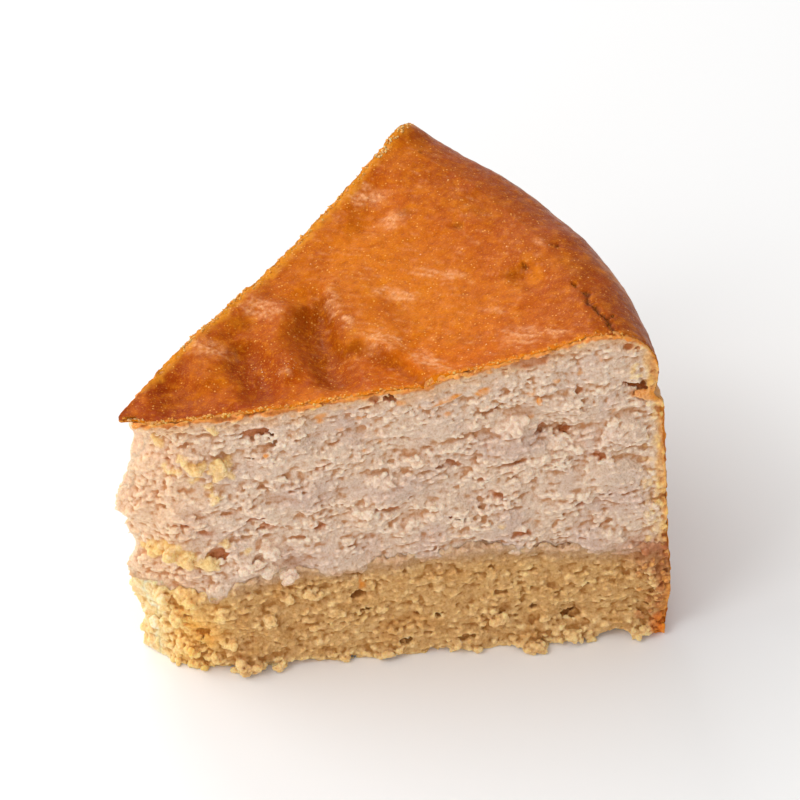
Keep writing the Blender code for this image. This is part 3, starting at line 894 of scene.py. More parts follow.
def by_relief(block, corners, colours, crest, crease, lines):
    """Colours with painted highlights on the crests and painted shade in the creases and recesses, by a
    factor for each.
    """
    depth = -block.sampled(block.plain, corners)
    close = block.sampled(block.fullness(CLOSE_REACH), corners)
    wide = block.sampled(block.fullness(WIDE_REACH), corners)
    # Painted highlight where little food is close round; painted shade where much is, deep below the plain
    # cut, and along the crease lines
    highlight_share = smooth_step(0.48, 0.37, close)
    shade_share = 0.8 * smooth_step(0.53, 0.66, close) + 0.6 * smooth_step(0.51, 0.62, wide)
    shade_share = np.clip(shade_share + 0.4 * smooth_step(0.9, 2.0, depth) + lines, 0.0, 1.0)
    colours = colours * (1.0 + highlight_share[:, None] * (np.array(crest) - 1.0))
    colours = colours * (1.0 + shade_share[:, None] * (np.array(crease) - 1.0))
    return colours / np.maximum(1.0, colours.max(axis=1) / MOST_PALE)[:, None]


def cream_colours(block, corners):
    """The colour of each corner of the cream."""
    along, inward, up = corners.T
    radius = np.hypot(along, inward)
    across = share_across(along, inward, block.far)
    smear = 0.0 if block.far else smear_share(along, up)
    streak = swell(np.stack((along / 1.2, inward / 1.2, up / 3.0), axis=1))
    patch = swell(corners / (3.0, 3.0, 1.2) + 31.0)
    fine = swell(corners / 0.9 + 57.0)
    under_side = side_radius(up, across) - radius
    under_skin = skin_height(radius, across) - up
    over_seam = up - profile(SEAM_PROFILE, radius)
    corner = smooth_step(86.0, 98.0, radius) * smooth_step(4.5, 1.0, over_seam + 1.5 * patch)
    colours = layered(
        np.tile(tone("cream"), (len(corners), 1)),
        ("cream shade", smooth_step(-0.2, 0.7, swell(corners / 7.0 + 5.0))),
        # Painted highlight: paler cream on the raised crumbs
        ("cream crumb highlight", 0.4 * block.painted("pale", corners)),
        ("smear", 0.5 * smear),
        # Painted light: paler cream towards the pointed end, lit from the left
        ("lit cream tip", 0.55 * smooth_step(25.0, 12.0, radius)),
        ("cream golden", 0.7 * smooth_step(2.8, 0.8, under_side + 1.1 * streak)),
        ("cream side", 0.75 * smooth_step(1.5, 0.4, under_side + 0.8 * streak)),
        ("under skin", 0.55 * smooth_step(4.5, 0.9, under_skin + 2.0 * patch)),
        ("close under skin", 0.9 * smooth_step(1.0, 0.5, under_skin + 0.45 * fine)),
        ("cream by sponge", 0.85 * sponge_share(corners)),
        ("cream corner", 0.5 * corner),
    )
    # Crease lines between the lumps, darkened as painted shade in by_relief
    lines = 0.4 * creases(corners, CREAM_LUMPS, block.shift)
    lines = (lines + 0.2 * creases(corners, CREAM_GRAINS, block.shift)) * cream_zone(along, inward, up)
    colours = by_relief(block, corners, colours, CREAM_CREST_HIGHLIGHT, CREAM_CREASE_SHADE, lines * (1.0 - 0.7 * smear))
    # Painted warm shade inside the tears and slits, where the cut lies deeper than its plain surface
    recess_shade = smooth_step(0.1, 0.6, -block.sampled(block.plain, corners))
    colours = layered(colours, ("gap", 0.75 * block.painted("gap", corners) * recess_shade))
    # Paints laid on last; the curds' pale tone is partly a painted highlight
    return layered(colours, *((name, most * block.painted(name, corners)) for name, most in CREAM_PAINTS))


# Holes of the near cut: (along, height), half length, half height, tilt, depth
HOLES = (
    ((46.7, 14.6), 1.5, 0.8, 12.0, 1.7), ((84.2, 5.6), 2.0, 1.1, 8.0, 2.0),
    ((77.6, 8.4), 0.8, 0.6, 0.0, 1.4), ((71.7, 12.8), 1.2, 0.5, 0.0, 1.2),
    ((87.1, 12.9), 0.8, 0.5, 0.0, 1.1), ((55.1, 3.7), 1.2, 0.9, 0.0, 1.6),
    ((48.2, 11.2), 1.3, 0.4, 0.0, 1.1), ((66.0, 3.2), 1.6, 0.9, 0.0, 1.4),
    ((60.8, 9.0), 1.0, 0.6, 10.0, 1.0), ((19.5, 8.5), 2.2, 1.0, 10.0, 1.0),
)

# Crumbs of the near cut: (along, height), half length, half height
LOOSE_CRUMBS = (
    ((38.6, 16.4), 3.0, 1.2), ((34.2, 15.4), 1.6, 1.1), ((31.3, 12.0), 1.5, 1.6), ((39.0, 8.6), 1.3, 0.9),
    ((71.0, 7.4), 3.0, 1.5), ((27.6, 17.2), 0.8, 0.7), ((27.1, 1.7), 2.6, 2.1), ((33.0, 1.2), 1.3, 1.0),
    ((44.0, 1.2), 1.2, 1.0), ((47.8, 1.4), 1.0, 0.9), ((76.6, 1.2), 2.3, 1.4), ((84.7, 2.4), 2.8, 1.3),
    ((97.0, 1.9), 1.5, 1.0), ((64.0, 1.8), 1.3, 1.1), ((52.0, 1.6), 1.6, 1.2), ((14.5, 12.5), 2.2, 1.6),
    ((17.5, 16.0), 1.8, 1.2), ((13.0, 7.5), 1.6, 1.4), ((17.0, 4.5), 2.4, 1.5), ((22.5, 13.5), 2.0, 1.2),
    ((24.0, 6.5), 1.8, 1.4), ((15.5, 9.8), 1.2, 1.0), ((21.0, 3.0), 2.0, 1.2), ((12.5, 15.5), 1.4, 1.2),
)

# The near cut's lower edge: how many notches and crumbs, and the least and most of how far along
# and how high they are, of their half length and half height, and of the notches' depth
FOOT_NOTCHES = (22, (14.0, 98.0), (0.0, 0.8), (0.6, 2.2), (0.4, 1.0), (0.4, 1.0))
FOOT_CRUMBS = (60, (14.0, 100.0), (0.4, 1.8), (0.5, 1.5), (0.4, 1.0))

# Painted highlight and shade: how much crests lighten and creases deepen each part of the colour
SPONGE_CREST_HIGHLIGHT = (1.27, 1.36, 1.5)
SPONGE_CREASE_SHADE = (0.68, 0.5, 0.28)

# The noise of the sponge: size of the cells, shift and tilt
SPONGE_SWELLS = ((6.0, 4.0, 3.0), 3.1, 12.0)
SPONGE_CLODS = ((2.3, 1.9, 1.6), 8.1, 0.0)
SPONGE_LUMPS = ((0.95, 0.85, 0.8), 29.5, 0.0)
SPONGE_GRAINS = ((0.5, 0.48, 0.46), 19.9, 0.0)
SPONGE_ZONE_CELLS = (6.0, 5.0, 4.0)

# Where the sponge's forms are scattered: all over the cuts and at the side crust
SPONGE_BOX = ((5.0, -3.0, 0.6), (102.5, 5.0, 25.0))
SPONGE_SIDE = ((96.0, -3.0, 0.6), (103.5, 5.0, 22.0))

# Scattered forms: count, least and most size, proportions, tilts, sink, paints from least to most
SPONGE_PITS = (110, (0.3, 0.7), (1.5, 0.9, 0.6), (-30.0, 30.0), 0.0, ())
# The crumbs' pale paint is a painted highlight on them
SPONGE_CRUMBS = (1300, (0.25, 0.85), (1.2, 0.6, 0.85), (-50.0, 50.0), 0.3, (("pale", 0.0, 1.0),))
CRUST_CRUMBS = (170, (0.35, 1.0), (0.9, 0.6, 1.0), (-50.0, 50.0), 0.2, (("crust", 0.3, 1.0),))

# The orange fleck in the sponge: (along, height), half length, half height, tilt
ORANGE_FLECK = ((47.3, 17.0), 0.8, 1.3, 10.0)

# Painted amber light round the hole in the sponge's left end: (along, height) and reach
AMBER_PIT = ((19.5, 8.5), 4.5)


def add_crumbs(block):
    """Add the near cut's loose crumbs, its ragged lower edge and its orange fleck; the crumbs' pale paint
    is a painted highlight.
    """
    for centre, length, height in LOOSE_CRUMBS:
        block.crumble(centre, (length, height), "pale", 0.9)
        block.crumble(centre, (0.7 * length, 0.7 * height), "pale", 0.7)
    count, *ranges = FOOT_NOTCHES
    for _ in range(count):
        along, up, length, height, depth = [block.rng.uniform(*ends) for ends in ranges]
        block.feature((along, up), length, height, 0.0, depth, True)
    count, *ranges = FOOT_CRUMBS
    for _ in range(count):
        along, up, length, height = [block.rng.uniform(*ends) for ends in ranges]
        block.crumble((along, up), (length, height), "pale", 0.8)
    block.feature(*ORANGE_FLECK, 0.4, False, "orange")


def trim_sponge(block):
    """Cut the sponge back inside the side crust, below the seam and above the floor."""
    values = np.maximum(block.values, block.radius - crust_reach(block))
    below_seam = block.seam + SEAM_LAP + seam_ragged(block) - block.up
    values = -smooth_least(-values, below_seam, SEAM_BEVEL)
    block.values = np.maximum(values, 0.05 - block.up)


def sculpt_sponge(far):
    """The crumbly sponge beside one cut."""
    block = Block("base", far)
    places = (block.along, block.inward, block.up)
    zone = np.clip(1.0 + 0.6 * noise_over(places, SPONGE_ZONE_CELLS, 7.0), 0.4, 1.5) * seam_calm(*places)
    block.roughen(SPONGE_SWELLS, 0.3, shift=FAR_SHIFTS["filling"] if far else 0.0)
    block.roughen(SPONGE_CLODS, 0.26 * zone, lumps)
    if not far:
        for hole in HOLES:
            block.feature(*hole, True)
    block.scatter(SPONGE_PITS, SPONGE_BOX, zone, carve=True)
    block.scatter(SPONGE_CRUMBS, SPONGE_BOX, zone)
    if not far:
        block.scatter(CRUST_CRUMBS, SPONGE_SIDE, zone)
    block.roughen(SPONGE_LUMPS, 0.16 * zone, lumps)
    if not far:
        add_crumbs(block)
    block.roughen(SPONGE_GRAINS, 0.1 * zone, lumps)
    trim_sponge(block)
    return block.finished("sponge", sponge_colours)


def sponge_body(block, corners):
    """The colours of the sponge's crumb, with painted light: golden and glowing towards the lit pointed
    end.
    """
    along, inward, up = corners.T
    radius = np.hypot(along, inward)
    drift = swell(corners / 5.0 + 45.0)
    moist = smooth_step(3.4, 0.2, profile(SEAM_PROFILE, radius) - up + 0.9 * swell(corners / 2.5))
    golden = smooth_step(28.0, 14.0, radius + 3.0 * drift)
    painted_end_glow = smooth_step(17.0, 9.0, along)
    return layered(
        np.tile(tone("sponge"), (len(corners), 1)),
        ("sponge shade", smooth_step(-0.1, 0.7, drift)),
        # Painted highlight: paler crumb on the raised crumbs
        ("sponge crumb highlight", 0.6 * block.painted("pale", corners)),
        ("moist", 0.65 * moist),
        ("sponge by cream", 0.8 * (1.0 - sponge_share(corners))),
        # Painted light: golden, amber patches, glowing and brighter towards the lit pointed end
        ("sponge lit golden", 0.7 * golden),
        ("amber", 0.5 * golden * smooth_step(0.1, 0.6, swell(corners / 2.6 + 33.0))),
        ("painted_end_glow", 0.7 * painted_end_glow),
        ("painted end highlight", 0.6 * painted_end_glow * smooth_step(0.0, 0.6, swell(corners / 1.5 + 21.0))),
    )


def sponge_colours(block, corners):
    """The colour of each corner of the sponge."""
    along, inward, up = corners.T
    radius = np.hypot(along, inward)
    under_side = side_radius(up, share_across(along, inward, block.far)) - radius
    under_seam = profile(SEAM_PROFILE, radius) - up
    patch = swell(corners / 1.6) + 0.5 * swell(corners / 5.0 + 9.0)
    corner = smooth_step(88.0, 99.0, radius) * smooth_step(7.0, 1.0, under_seam + 2.0 * patch)
    gold = smooth_step(15.0, 11.0, up) * smooth_step(2.2, 0.8, under_side + 0.7 * patch)
    foot = smooth_step(6.0, 3.0, up) * smooth_step(3.4, 1.4, under_side + 0.8 * patch)
    crust = block.painted("crust", corners)
    crust_share = 0.6 * smooth_step(0.2, 0.5, crust)
    colours = layered(
        sponge_body(block, corners),
        ("sponge side", 0.75 * smooth_step(3.6, 0.4, under_side + 1.4 * patch)),
        ("sponge corner", 0.6 * corner),
        ("sponge gold", 0.5 * gold),
        ("light crust", np.where(crust > 0.65, crust_share, 0.0)),
        ("dark crust", np.where(crust > 0.65, 0.0, crust_share)),
        ("foot", 0.75 * foot),
    )
    # Crease lines between the lumps, darkened as painted shade in by_relief
    lines = 0.3 * creases(corners, SPONGE_LUMPS, block.shift)
    lines = lines + 0.2 * creases(corners, SPONGE_GRAINS, block.shift)
    colours = by_relief(block, corners, colours, SPONGE_CREST_HIGHLIGHT, SPONGE_CREASE_SHADE, lines)
    # Painted light: amber round the hole at the lit pointed end
    (at_along, at_up), reach = AMBER_PIT
    pit_glow = hump(np.hypot(along - at_along, up - at_up), reach) * smooth_step(4.0, 1.0, inward)
    return layered(colours, ("pit_glow", 0.6 * pit_glow), ("sponge fleck", block.painted("orange", corners)))


# Pale scuffs of the skin, partly painted sheen: (along the near cut, in from it), half length, half width,
# turn
SCUFFS_AND_SHEEN = (
    ((57.3, 23.9), 3.2, 1.0, -30.0), ((54.4, 25.6), 1.6, 0.9, -30.0), ((62.9, 27.8), 2.4, 0.7, -30.0),
    ((66.3, 26.0), 2.2, 0.8, -25.0), ((72.3, 14.4), 2.2, 0.5, -25.0), ((52.6, 12.9), 3.0, 1.4, -40.0),
    ((60.0, 5.2), 4.4, 1.0, -52.0), ((75.5, 6.0), 3.4, 1.7, -25.0), ((80.6, 4.5), 2.2, 0.7, -20.0),
    ((55.1, 50.2), 3.4, 1.2, -10.0), ((58.2, 43.5), 2.0, 1.4, -40.0), ((54.9, 52.7), 0.8, 0.6, 0.0),
    ((35.6, 9.2), 1.3, 0.5, -40.0), ((23.2, 18.0), 3.4, 1.3, -25.0), ((33.6, 26.6), 3.6, 1.5, -35.0),
    ((82.0, 28.2), 1.0, 0.5, -30.0), ((45.8, 25.0), 3.0, 0.8, 95.0), ((47.5, 19.5), 1.6, 0.7, 100.0),
)

# The way the streaks of the scuffs and painted sheen run, in degrees from the near cut
STREAK_TURN = -27.0

# Dark marks of the skin: (along, in), half length, half width, turn, depth, darkness
MARKS = (
    ((86.0, 15.0), 0.8, 0.6, 0.0, 0.3, 0.6), ((87.7, 11.4), 1.9, 0.5, -70.0, 0.35, 0.7),
    ((88.9, 7.6), 1.7, 0.45, -80.0, 0.35, 0.7), ((90.1, 3.0), 2.6, 0.5, -70.0, 0.4, 0.8),
    ((88.2, 9.4), 0.9, 0.4, 10.0, 0.25, 0.6), ((78.8, 23.2), 1.3, 0.6, -20.0, 0.45, 0.7),
    ((76.6, 22.4), 3.2, 1.8, -10.0, 0.15, 0.35), ((69.2, 37.6), 2.0, 1.2, -10.0, 0.35, 0.5),
    ((73.7, 39.9), 3.0, 1.6, -30.0, 0.1, 0.25), ((60.6, 44.2), 2.6, 1.6, -30.0, 0.2, 0.35),
    ((29.3, 24.0), 4.5, 2.6, -30.0, 0.0, 0.3), ((65.4, 58.0), 0.6, 0.5, 0.0, 0.2, 0.7),
    ((84.9, 26.6), 1.0, 0.5, -30.0, 0.2, 0.5), ((42.6, 20.5), 1.0, 3.6, 8.0, 0.15, 0.35),
    ((94.8, 12.0), 5.0, 2.0, -50.0, 0.0, 0.2), ((66.5, 9.0), 6.0, 2.6, -25.0, 0.0, 0.2),
)

# The skin's colour by radius from the cake's centre
SKIN_TONES = (
    (8.0, (146, 50, 2)), (30.0, (168, 70, 4)), (48.0, (186, 88, 6)), (60.0, (208, 110, 8)),
    (68.0, (204, 106, 8)), (78.0, (186, 86, 6)), (86.0, (170, 76, 8)), (92.0, (152, 64, 12)),
    (100.0, (146, 62, 16)),
)
# How much less of each part of the colour there is towards the near cut
NEAR_LOSS = (0.03, 0.18, 0.5)

# The skin's broad, middle and small noise: size and shift
SKIN_NOISES = ((13.0, 1.0), (4.5, 6.0), (1.7, 16.0))
# The skin's ragged edges and its relief, all over, on the side and by the cuts: amount, size, shift
EDGE_NOISES = ((0.3, 2.8, 3.0), (0.28, 1.2, 5.0), (0.24, 0.55, 9.0))
RELIEF_NOISES = ((0.18, 6.5, 2.0), (0.1, 2.6, 7.0), (0.06, 1.1, 12.0))
SIDE_NOISES = ((0.16, (1.3, 1.3, 4.0), 45.0), (0.14, 1.2, 47.0), (0.1, 0.6, 49.0))
CRUMBLY_NOISES = ((0.24, 1.0, 41.0), (0.16, 0.5, 43.0))

# How the sheet's pointed end runs across: its slant, its sweep at the far cut, and a bulge
TIP_SLANT = 1.5
TIP_SWEEP = 14.0
TIP_BULGE = (0.6, 0.55, 0.35)

# The sheet's lattice: rows over the top, over the rim's roll and down the side, and columns across
TOP_ROWS = 310
ROLL_ROWS = 40
SIDE_ROWS = 100
ACROSS_COLUMNS = 150
# How thick the sheet is, how far above the floor its outer side ends, and its lowest place
SKIN_THICKNESS = 0.6
SIDE_END = 0.4
LEAST_HEIGHT = 0.1


def skin_lattice():
    """The radius, share across and height of each crossing of the sheet's lattice."""
    even = np.linspace(0.0, 1.0, ACROSS_COLUMNS)
    across = 0.4 * even + 0.6 * (0.5 - 0.5 * np.cos(math.pi * even))
    bulge, middle, reach = TIP_BULGE
    tip = SKIN_TIP_RADIUS - TIP_SLANT * across + TIP_SWEEP * across ** 6
    tip = tip - bulge * hump(across - middle, reach)
    rim = side_radius(RIM_END, across)
    crest = (CREST_RADIUS - tip) / (rim - tip)
    rows = []
    for share in np.linspace(0.0, 1.0, TOP_ROWS, endpoint=False):
        rows.append(tip + (rim - tip) * crest * share)
    for turn in np.linspace(0.0, math.pi / 2.0, ROLL_ROWS):
        rows.append(tip + (rim - tip) * (crest + (1.0 - crest) * math.sin(turn)))
    radius = np.array(rows)
    across = np.broadcast_to(across, radius.shape)
    height = skin_height(radius, across)
    low = np.linspace(1.0, 0.0, SIDE_ROWS + 1)[1:, None]
    side_height = SIDE_END + (height[-1] - SIDE_END) * low
    side_across = np.broadcast_to(across[0], side_height.shape)
    radius = np.concatenate((radius, side_radius(side_height, side_across)))
    height = np.concatenate((height, side_height))
    across = np.concatenate((across, side_across))
    return radius, across, height


def lattice_normals(places):
    """The outward normals of a lattice of places."""
    down = np.gradient(places, axis=0)
    sideways = np.gradient(places, axis=1)
    normals = np.cross(down, sideways)
    return normals / np.linalg.norm(normals, axis=2, keepdims=True)


def mark_share(form, along, inward):
    """How much of a mark with a centre, half length, half width and turn lies at each place."""
    centre, length, width, turn = form[:4]
    lengthwise, sideways = turned(along - centre[0], inward - centre[1], turn)
    uneven = 1.0 + 0.35 * noise_over((along, inward), 1.3, 51.0)
    return hump(uneven * np.hypot(lengthwise / length, sideways / width), 1.0)


def scuff_and_sheen_share(along, inward):
    """How much scuffed skin and painted sheen lies at each place of the skin."""
    share = np.zeros(np.broadcast(along, inward).shape)
    for centre, length, width, turn in SCUFFS_AND_SHEEN:
        wider = (centre, 1.7 * length, 2.3 * width, turn)
        share = np.maximum(share, mark_share(wider, along, inward))
    run = turned(along, inward, STREAK_TURN)
    streaks = noise_over(run, (2.4, 0.7), 83.0)
    flecks = noise_over(run, (0.9, 0.5), 87.0)
    streaked = np.clip(0.55 + 0.9 * streaks + 0.7 * flecks, 0.0, 1.3)
    middle = smooth_step(36.0, 46.0, along) * smooth_step(96.0, 84.0, np.hypot(along, inward))
    faint = 0.3 * smooth_step(0.15, 0.8, streaks + 0.4 * flecks) * middle
    return np.clip(share * streaked + faint, 0.0, 1.0)


def cracked(along, inward):
    """How much of a crack of the skin lies at each place."""
    plan = (along, inward)
    along = along + 0.45 * noise_over(plan, 1.1, 61.0)
    inward = inward + 0.45 * noise_over(plan, 1.1, 67.0)
    width = CRACK_WIDTH * (0.9 + 0.6 * noise_over(plan, 1.6, 71.0))
    share = np.zeros(np.broadcast(along, inward).shape)
    for crack in CRACKS:
        share = np.maximum(share, smooth_step(width, 0.35 * width, np.abs(line_gap(crack, along, inward))))
    return share


def skin_relief(places, along, inward, gap):
    """The fine wrinkles and bumps of the skin, faint towards the cuts."""
    parts = (places[..., 0], places[..., 1], places[..., 2])
    relief = noise_sum(parts, RELIEF_NOISES)
    wrinkle = np.abs(noise_over((along, inward), (1.6, 7.0), 4.0))
    fold = np.clip(-skin_folds(along, inward), 0.0, 2.0)
    relief -= 0.15 * fold * (0.5 - wrinkle)
    relief += 0.2 * scuff_and_sheen_share(along, inward)
    for form in MARKS:
        relief -= form[4] * mark_share(form, along, inward)
    relief = relief * (0.35 + 0.65 * smooth_step(0.0, 3.0, gap))
    relief -= 0.5 * cracked(along, inward)
    side = smooth_step(RIM_END, RIM_END - 4.0, parts[2])
    relief += side * noise_sum(parts, SIDE_NOISES)
    pores = noise_over(parts, (1.5, 1.5, 1.0), 53.0)
    relief -= side * 0.35 * smooth_step(0.45, 0.75, pores)
    return relief + noise_sum(parts, CRUMBLY_NOISES) * hump(gap, 1.8)


def skin_places(radius, across, height):
    """The outer places of the sheet, with its ragged edges, in the slice's frame."""
    half = SLICE_ANGLE / 2.0
    angle = (2.0 * across - 1.0) * half
    places = np.stack((radius * np.cos(angle), radius * np.sin(angle), height), axis=2)
    for turn, gap in ((-1.0, across), (1.0, 1.0 - across)):
        outward = np.array((-math.sin(half), turn * math.cos(half), 0.0))
        gap = gap * SLICE_ANGLE * radius
        ragged = noise_sum((radius, height), EDGE_NOISES, turn)
        if turn < 0.0:
            ragged = ragged - 1.4 * smooth_step(12.5, 8.5, radius)
            ragged = ragged - 0.35 - 0.05 * smooth_step(RIM_END + 4.0, RIM_END, height)
        places += outward * (ragged * hump(gap, 2.6))[..., None]
    return places


def skin_thickness(radius, across, height):
    """How thick the sheet is, thin at the cuts, with drips along the near one."""
    near_edge = hump(across * SLICE_ANGLE * radius, 2.0)
    drip = np.clip(noise_over((radius, height), 1.8, 21.0) - 0.15, 0.0, 1.0) * near_edge
    thinning = 0.12 + 0.88 * smooth_step(0.0, 2.0, cut_gap(radius, across))
    thickness = SKIN_THICKNESS * thinning + drip + lip_height(*on_plan(radius, across))
    rim = near_edge * smooth_step(86.0, 91.0, radius) * smooth_step(50.0, 58.0, height)
    return thickness + rim * (0.3 + 0.4 * noise_over((radius, height), 1.1, 23.0))


def ring_around(rows, columns):
    """The lattice indices around the border of a lattice."""
    index = np.arange(rows * columns).reshape(rows, columns)
    return np.concatenate((
        index[0, :-1], index[:-1, -1], index[-1, :0:-1], index[:0:-1, 0],
    ))


def grid_faces(rows, columns):
    """The quads of a lattice."""
    index = np.arange(rows * columns).reshape(rows, columns)
    return np.stack((
        index[:-1, :-1].ravel(), index[1:, :-1].ravel(), index[1:, 1:].ravel(), index[:-1, 1:].ravel(),
    ), axis=1)


def edge_middle(outer, inner, rows, columns):
    """The middle of the sheet's edge all round, uneven along the two cuts and the pointed end."""
    sine, cosine = math.sin(SLICE_ANGLE / 2.0), math.cos(SLICE_ANGLE / 2.0)
    ways = ((-1.0, 0.0, 0.0), (-sine, cosine, 0.0), (0.0, 0.0, 0.0), (-sine, -cosine, 0.0))
    outward = np.repeat(ways, (columns - 1, rows - 1, columns - 1, rows - 1), axis=0)
    middle = 0.5 * (outer + inner)
    return middle + outward * (0.14 * swell(middle / 0.7))[:, None]


def sheet_faces(ring, rows, columns):
    """The quads of the sheet's outer side, inner side and edge."""
    count = rows * columns
    faces = grid_faces(rows, columns)
    here = 2 * count + np.arange(len(ring))
    after, there = np.roll(ring, -1), np.roll(here, -1)
    upper = np.stack((after, ring, here, there), axis=1)
    lower = np.stack((there, here, count + ring, count + after), axis=1)
    return np.concatenate((faces, faces[:, ::-1] + count, upper, lower))


def top_colours(radius, across, noises):
    """The colour of each place of the browned top."""
    broad, middle, small = noises
    along, inward = on_plan(radius, across)
    spot = radius + 2.5 * middle + 2.0 * broad
    stations = [(station, linear(*colour)) for station, colour in SKIN_TONES]
    parts = [profile([(station, colour[part]) for station, colour in stations], spot) for part in range(3)]
    colours = layered(
        np.stack(parts, axis=-1),
        ("skin light", 0.55 * smooth_step(0.0, 0.7, broad + 0.3 * small)),
        ("skin dark", 0.55 * smooth_step(0.0, 0.8, -middle + 0.3 * small)),
        ("skin amber", 0.35 * smooth_step(0.1, 0.8, small)),
        ("skin brown", 0.35 * smooth_step(0.1, 0.8, -small)),
    )
    uneven = wandering(along, inward)
    # The fold valleys darker: partly browning and partly painted shade
    for fold in SKIN_FOLDS[:3]:
        fold_browning_and_shade = hump(fold_gap(fold, *uneven), 1.5 * fold[2]) * (0.8 + 0.3 * middle)
        colours = layered(colours, ("skin fold browning and shade", 0.42 * abs(fold[3]) * np.clip(fold_browning_and_shade, 0.0, 1.0)))
    near = smooth_step(18.0, 5.0, inward) * smooth_step(80.0, 68.0, radius)
    # Painted shade along the foot of the ledge's drop
    shade = hump(line_gap(LEDGE, *uneven) + 0.9, 2.2) * smooth_step(33.0, 25.0, inward)
    return layered(
        colours * (1.0 - near[..., None] * NEAR_LOSS),
        ("skin far", 0.5 * smooth_step(0.8, 1.0, across)),
        # Pale scuffs, partly painted sheen
        ("skin scuffed", 0.3 * scuff_and_sheen_share(along, inward)),
        *(("skin mark", form[5] * mark_share(form, along, inward)) for form in MARKS),
        ("skin ledge", 0.55 * shade),
        ("skin crack", 0.9 * cracked(along, inward)),
    )


def side_colours(parts, middle, small):
    """The colour of each place of the side crust."""
    height = parts[2]
    ragged = small + 0.7 * noise_over(parts, 0.8, 25.0)
    patches = noise_over(parts, (7.0, 7.0, 10.0), 3.0) + 0.5 * middle + 0.35 * ragged
    return layered(
        np.broadcast_to(tone("side"), height.shape + (3,)),
        ("side patch", 0.75 * smooth_step(-0.1, 0.5, patches)),
        ("side pale", 0.6 * smooth_step(0.35, 0.8, ragged - 0.4 * patches)),
        ("side low", 0.85 * smooth_step(24.0, 16.0, height + 3.0 * middle + 2.0 * ragged)),
        ("side foot", 0.8 * smooth_step(9.0, 3.0, height + 2.0 * ragged)),
        ("side fleck", 0.45 * smooth_step(0.4, 0.9, noise_over(parts, 0.7, 27.0))),
    )


def skin_colours(radius, across, height):
    """The colour of each place of the sheet: browned top, side crust and golden edges."""
    parts = (*on_plan(radius, across), height)
    noises = [noise_over(parts, size, shift) for size, shift in SKIN_NOISES]
    middle, small = noises[1:]
    rim_gap = height - RIM_END + 1.2 * middle + 0.9 * small
    below_rim = smooth_step(1.5, -2.0, rim_gap) * smooth_step(*RIM_SWELL_RADII, radius)
    colours = blend(top_colours(radius, across, noises), side_colours(parts, middle, small), below_rim)
    edge = smooth_step(1.7, 0.3, cut_gap(radius, across) + 0.8 * noise_over(parts, 1.1, 9.0))
    far_gap = (1.0 - across) * SLICE_ANGLE * radius
    crumbly = smooth_step(2.6, 0.6, far_gap + 1.2 * noise_over(parts, 1.4, 19.0))
    return layered(
        colours,
        ("skin edge", 0.7 * edge * smooth_step(92.0, 84.0, radius)),
        ("skin far edge", 0.7 * crumbly),
    )


def make_skin():
    """The browned skin and side crust as one closed sheet, and the crumbs on its edges."""
    radius, across, height = skin_lattice()
    rows, columns = radius.shape
    along, inward = on_plan(radius, across)
    places = skin_places(radius, across, height)
    normals = lattice_normals(places)
    swollen = rim_swell(height, across) * smooth_step(*RIM_SWELL_RADII, radius)
    places = places + normals * swollen[..., None]
    relief = skin_relief(places, along, inward, cut_gap(radius, across))
    outer = places + normals * relief[..., None]
    inner = places - normals * skin_thickness(radius, across, height)[..., None]
    ring = ring_around(rows, columns)
    outer, inner = outer.reshape(-1, 3), inner.reshape(-1, 3)
    middle = edge_middle(outer[ring], inner[ring], rows, columns)
    corners = np.concatenate((outer, inner, middle))
    corners[:, 2] = np.maximum(corners[:, 2], LEAST_HEIGHT)
    corners[:, 0] -= ORIGIN_FROM_CENTRE
    item = make_object("browned_skin", corners, (sheet_faces(ring, rows, columns),))
    colours = skin_colours(radius, across, height).reshape(-1, 3)
    under = layered(colours, ("skin underside", np.full(len(colours), 0.7)))
    pale = smooth_step(-0.5, 0.5, swell(middle / 1.3 + 5.0))
    edge = layered(np.tile(tone("dark rim of skin"), (len(ring), 1)), ("pale rim of skin", pale))
    store_colours(item, np.concatenate((colours, under, edge)))
    # Where the material lays on the pale scuffs and painted sheen
    scuffs_and_sheen = scuff_and_sheen_share(along, inward) * smooth_step(RIM_END, RIM_END + 2.0, height)
    store_amounts(item, "scuff_and_sheen", np.concatenate((scuffs_and_sheen.ravel(), np.zeros(len(outer) + len(ring)))))
    return item, make_crumbs(outer.reshape(radius.shape + (3,)), radius, across)


# Crumbs on the skin: by the far cut, how many, distances from the cut, radii of the slice, sizes, colours
CRUMB_BANDS = (
    (True, 260, (0.0, 1.0), (26.0, 94.0), (0.08, 0.28), ((226, 146, 50), (246, 190, 100))),
    (True, 60, (0.3, 1.5), (82.0, 92.0), (0.1, 0.34), ((236, 176, 92), (246, 212, 150))),
    (False, 260, (0.0, 0.9), (12.0, 92.0), (0.08, 0.32), ((218, 132, 34), (242, 190, 100))),
    (False, 30, (0.0, 1.4), (6.5, 14.0), (0.12, 0.28), ((206, 138, 64), (234, 188, 124))),
    # Pale specks on the top, partly painted glints
    (False, 30, (8.0, 15.0), (32.0, 40.0), (0.06, 0.12), ((226, 176, 126), (244, 216, 180))),
)
CRUMB_SEED = 77


def crumb_spots(rng, outer, radius, across):
    """The place, sizes and colours of each crumb on the skin."""
    rows = TOP_ROWS + ROLL_ROWS
    radius, across = radius[:rows], across[:rows]
    spots = []
    for far, count, gaps, radii, sizes, pair in CRUMB_BANDS:
        gap = (1.0 - across if far else across) * SLICE_ANGLE * radius
        fits = (gap >= gaps[0]) & (gap <= gaps[1]) & (radius >= radii[0]) & (radius <= radii[1])
        found = outer[:rows][fits]
        spots += [(spot, sizes, pair) for spot in found[rng.integers(len(found), size=count)]]
    return spots


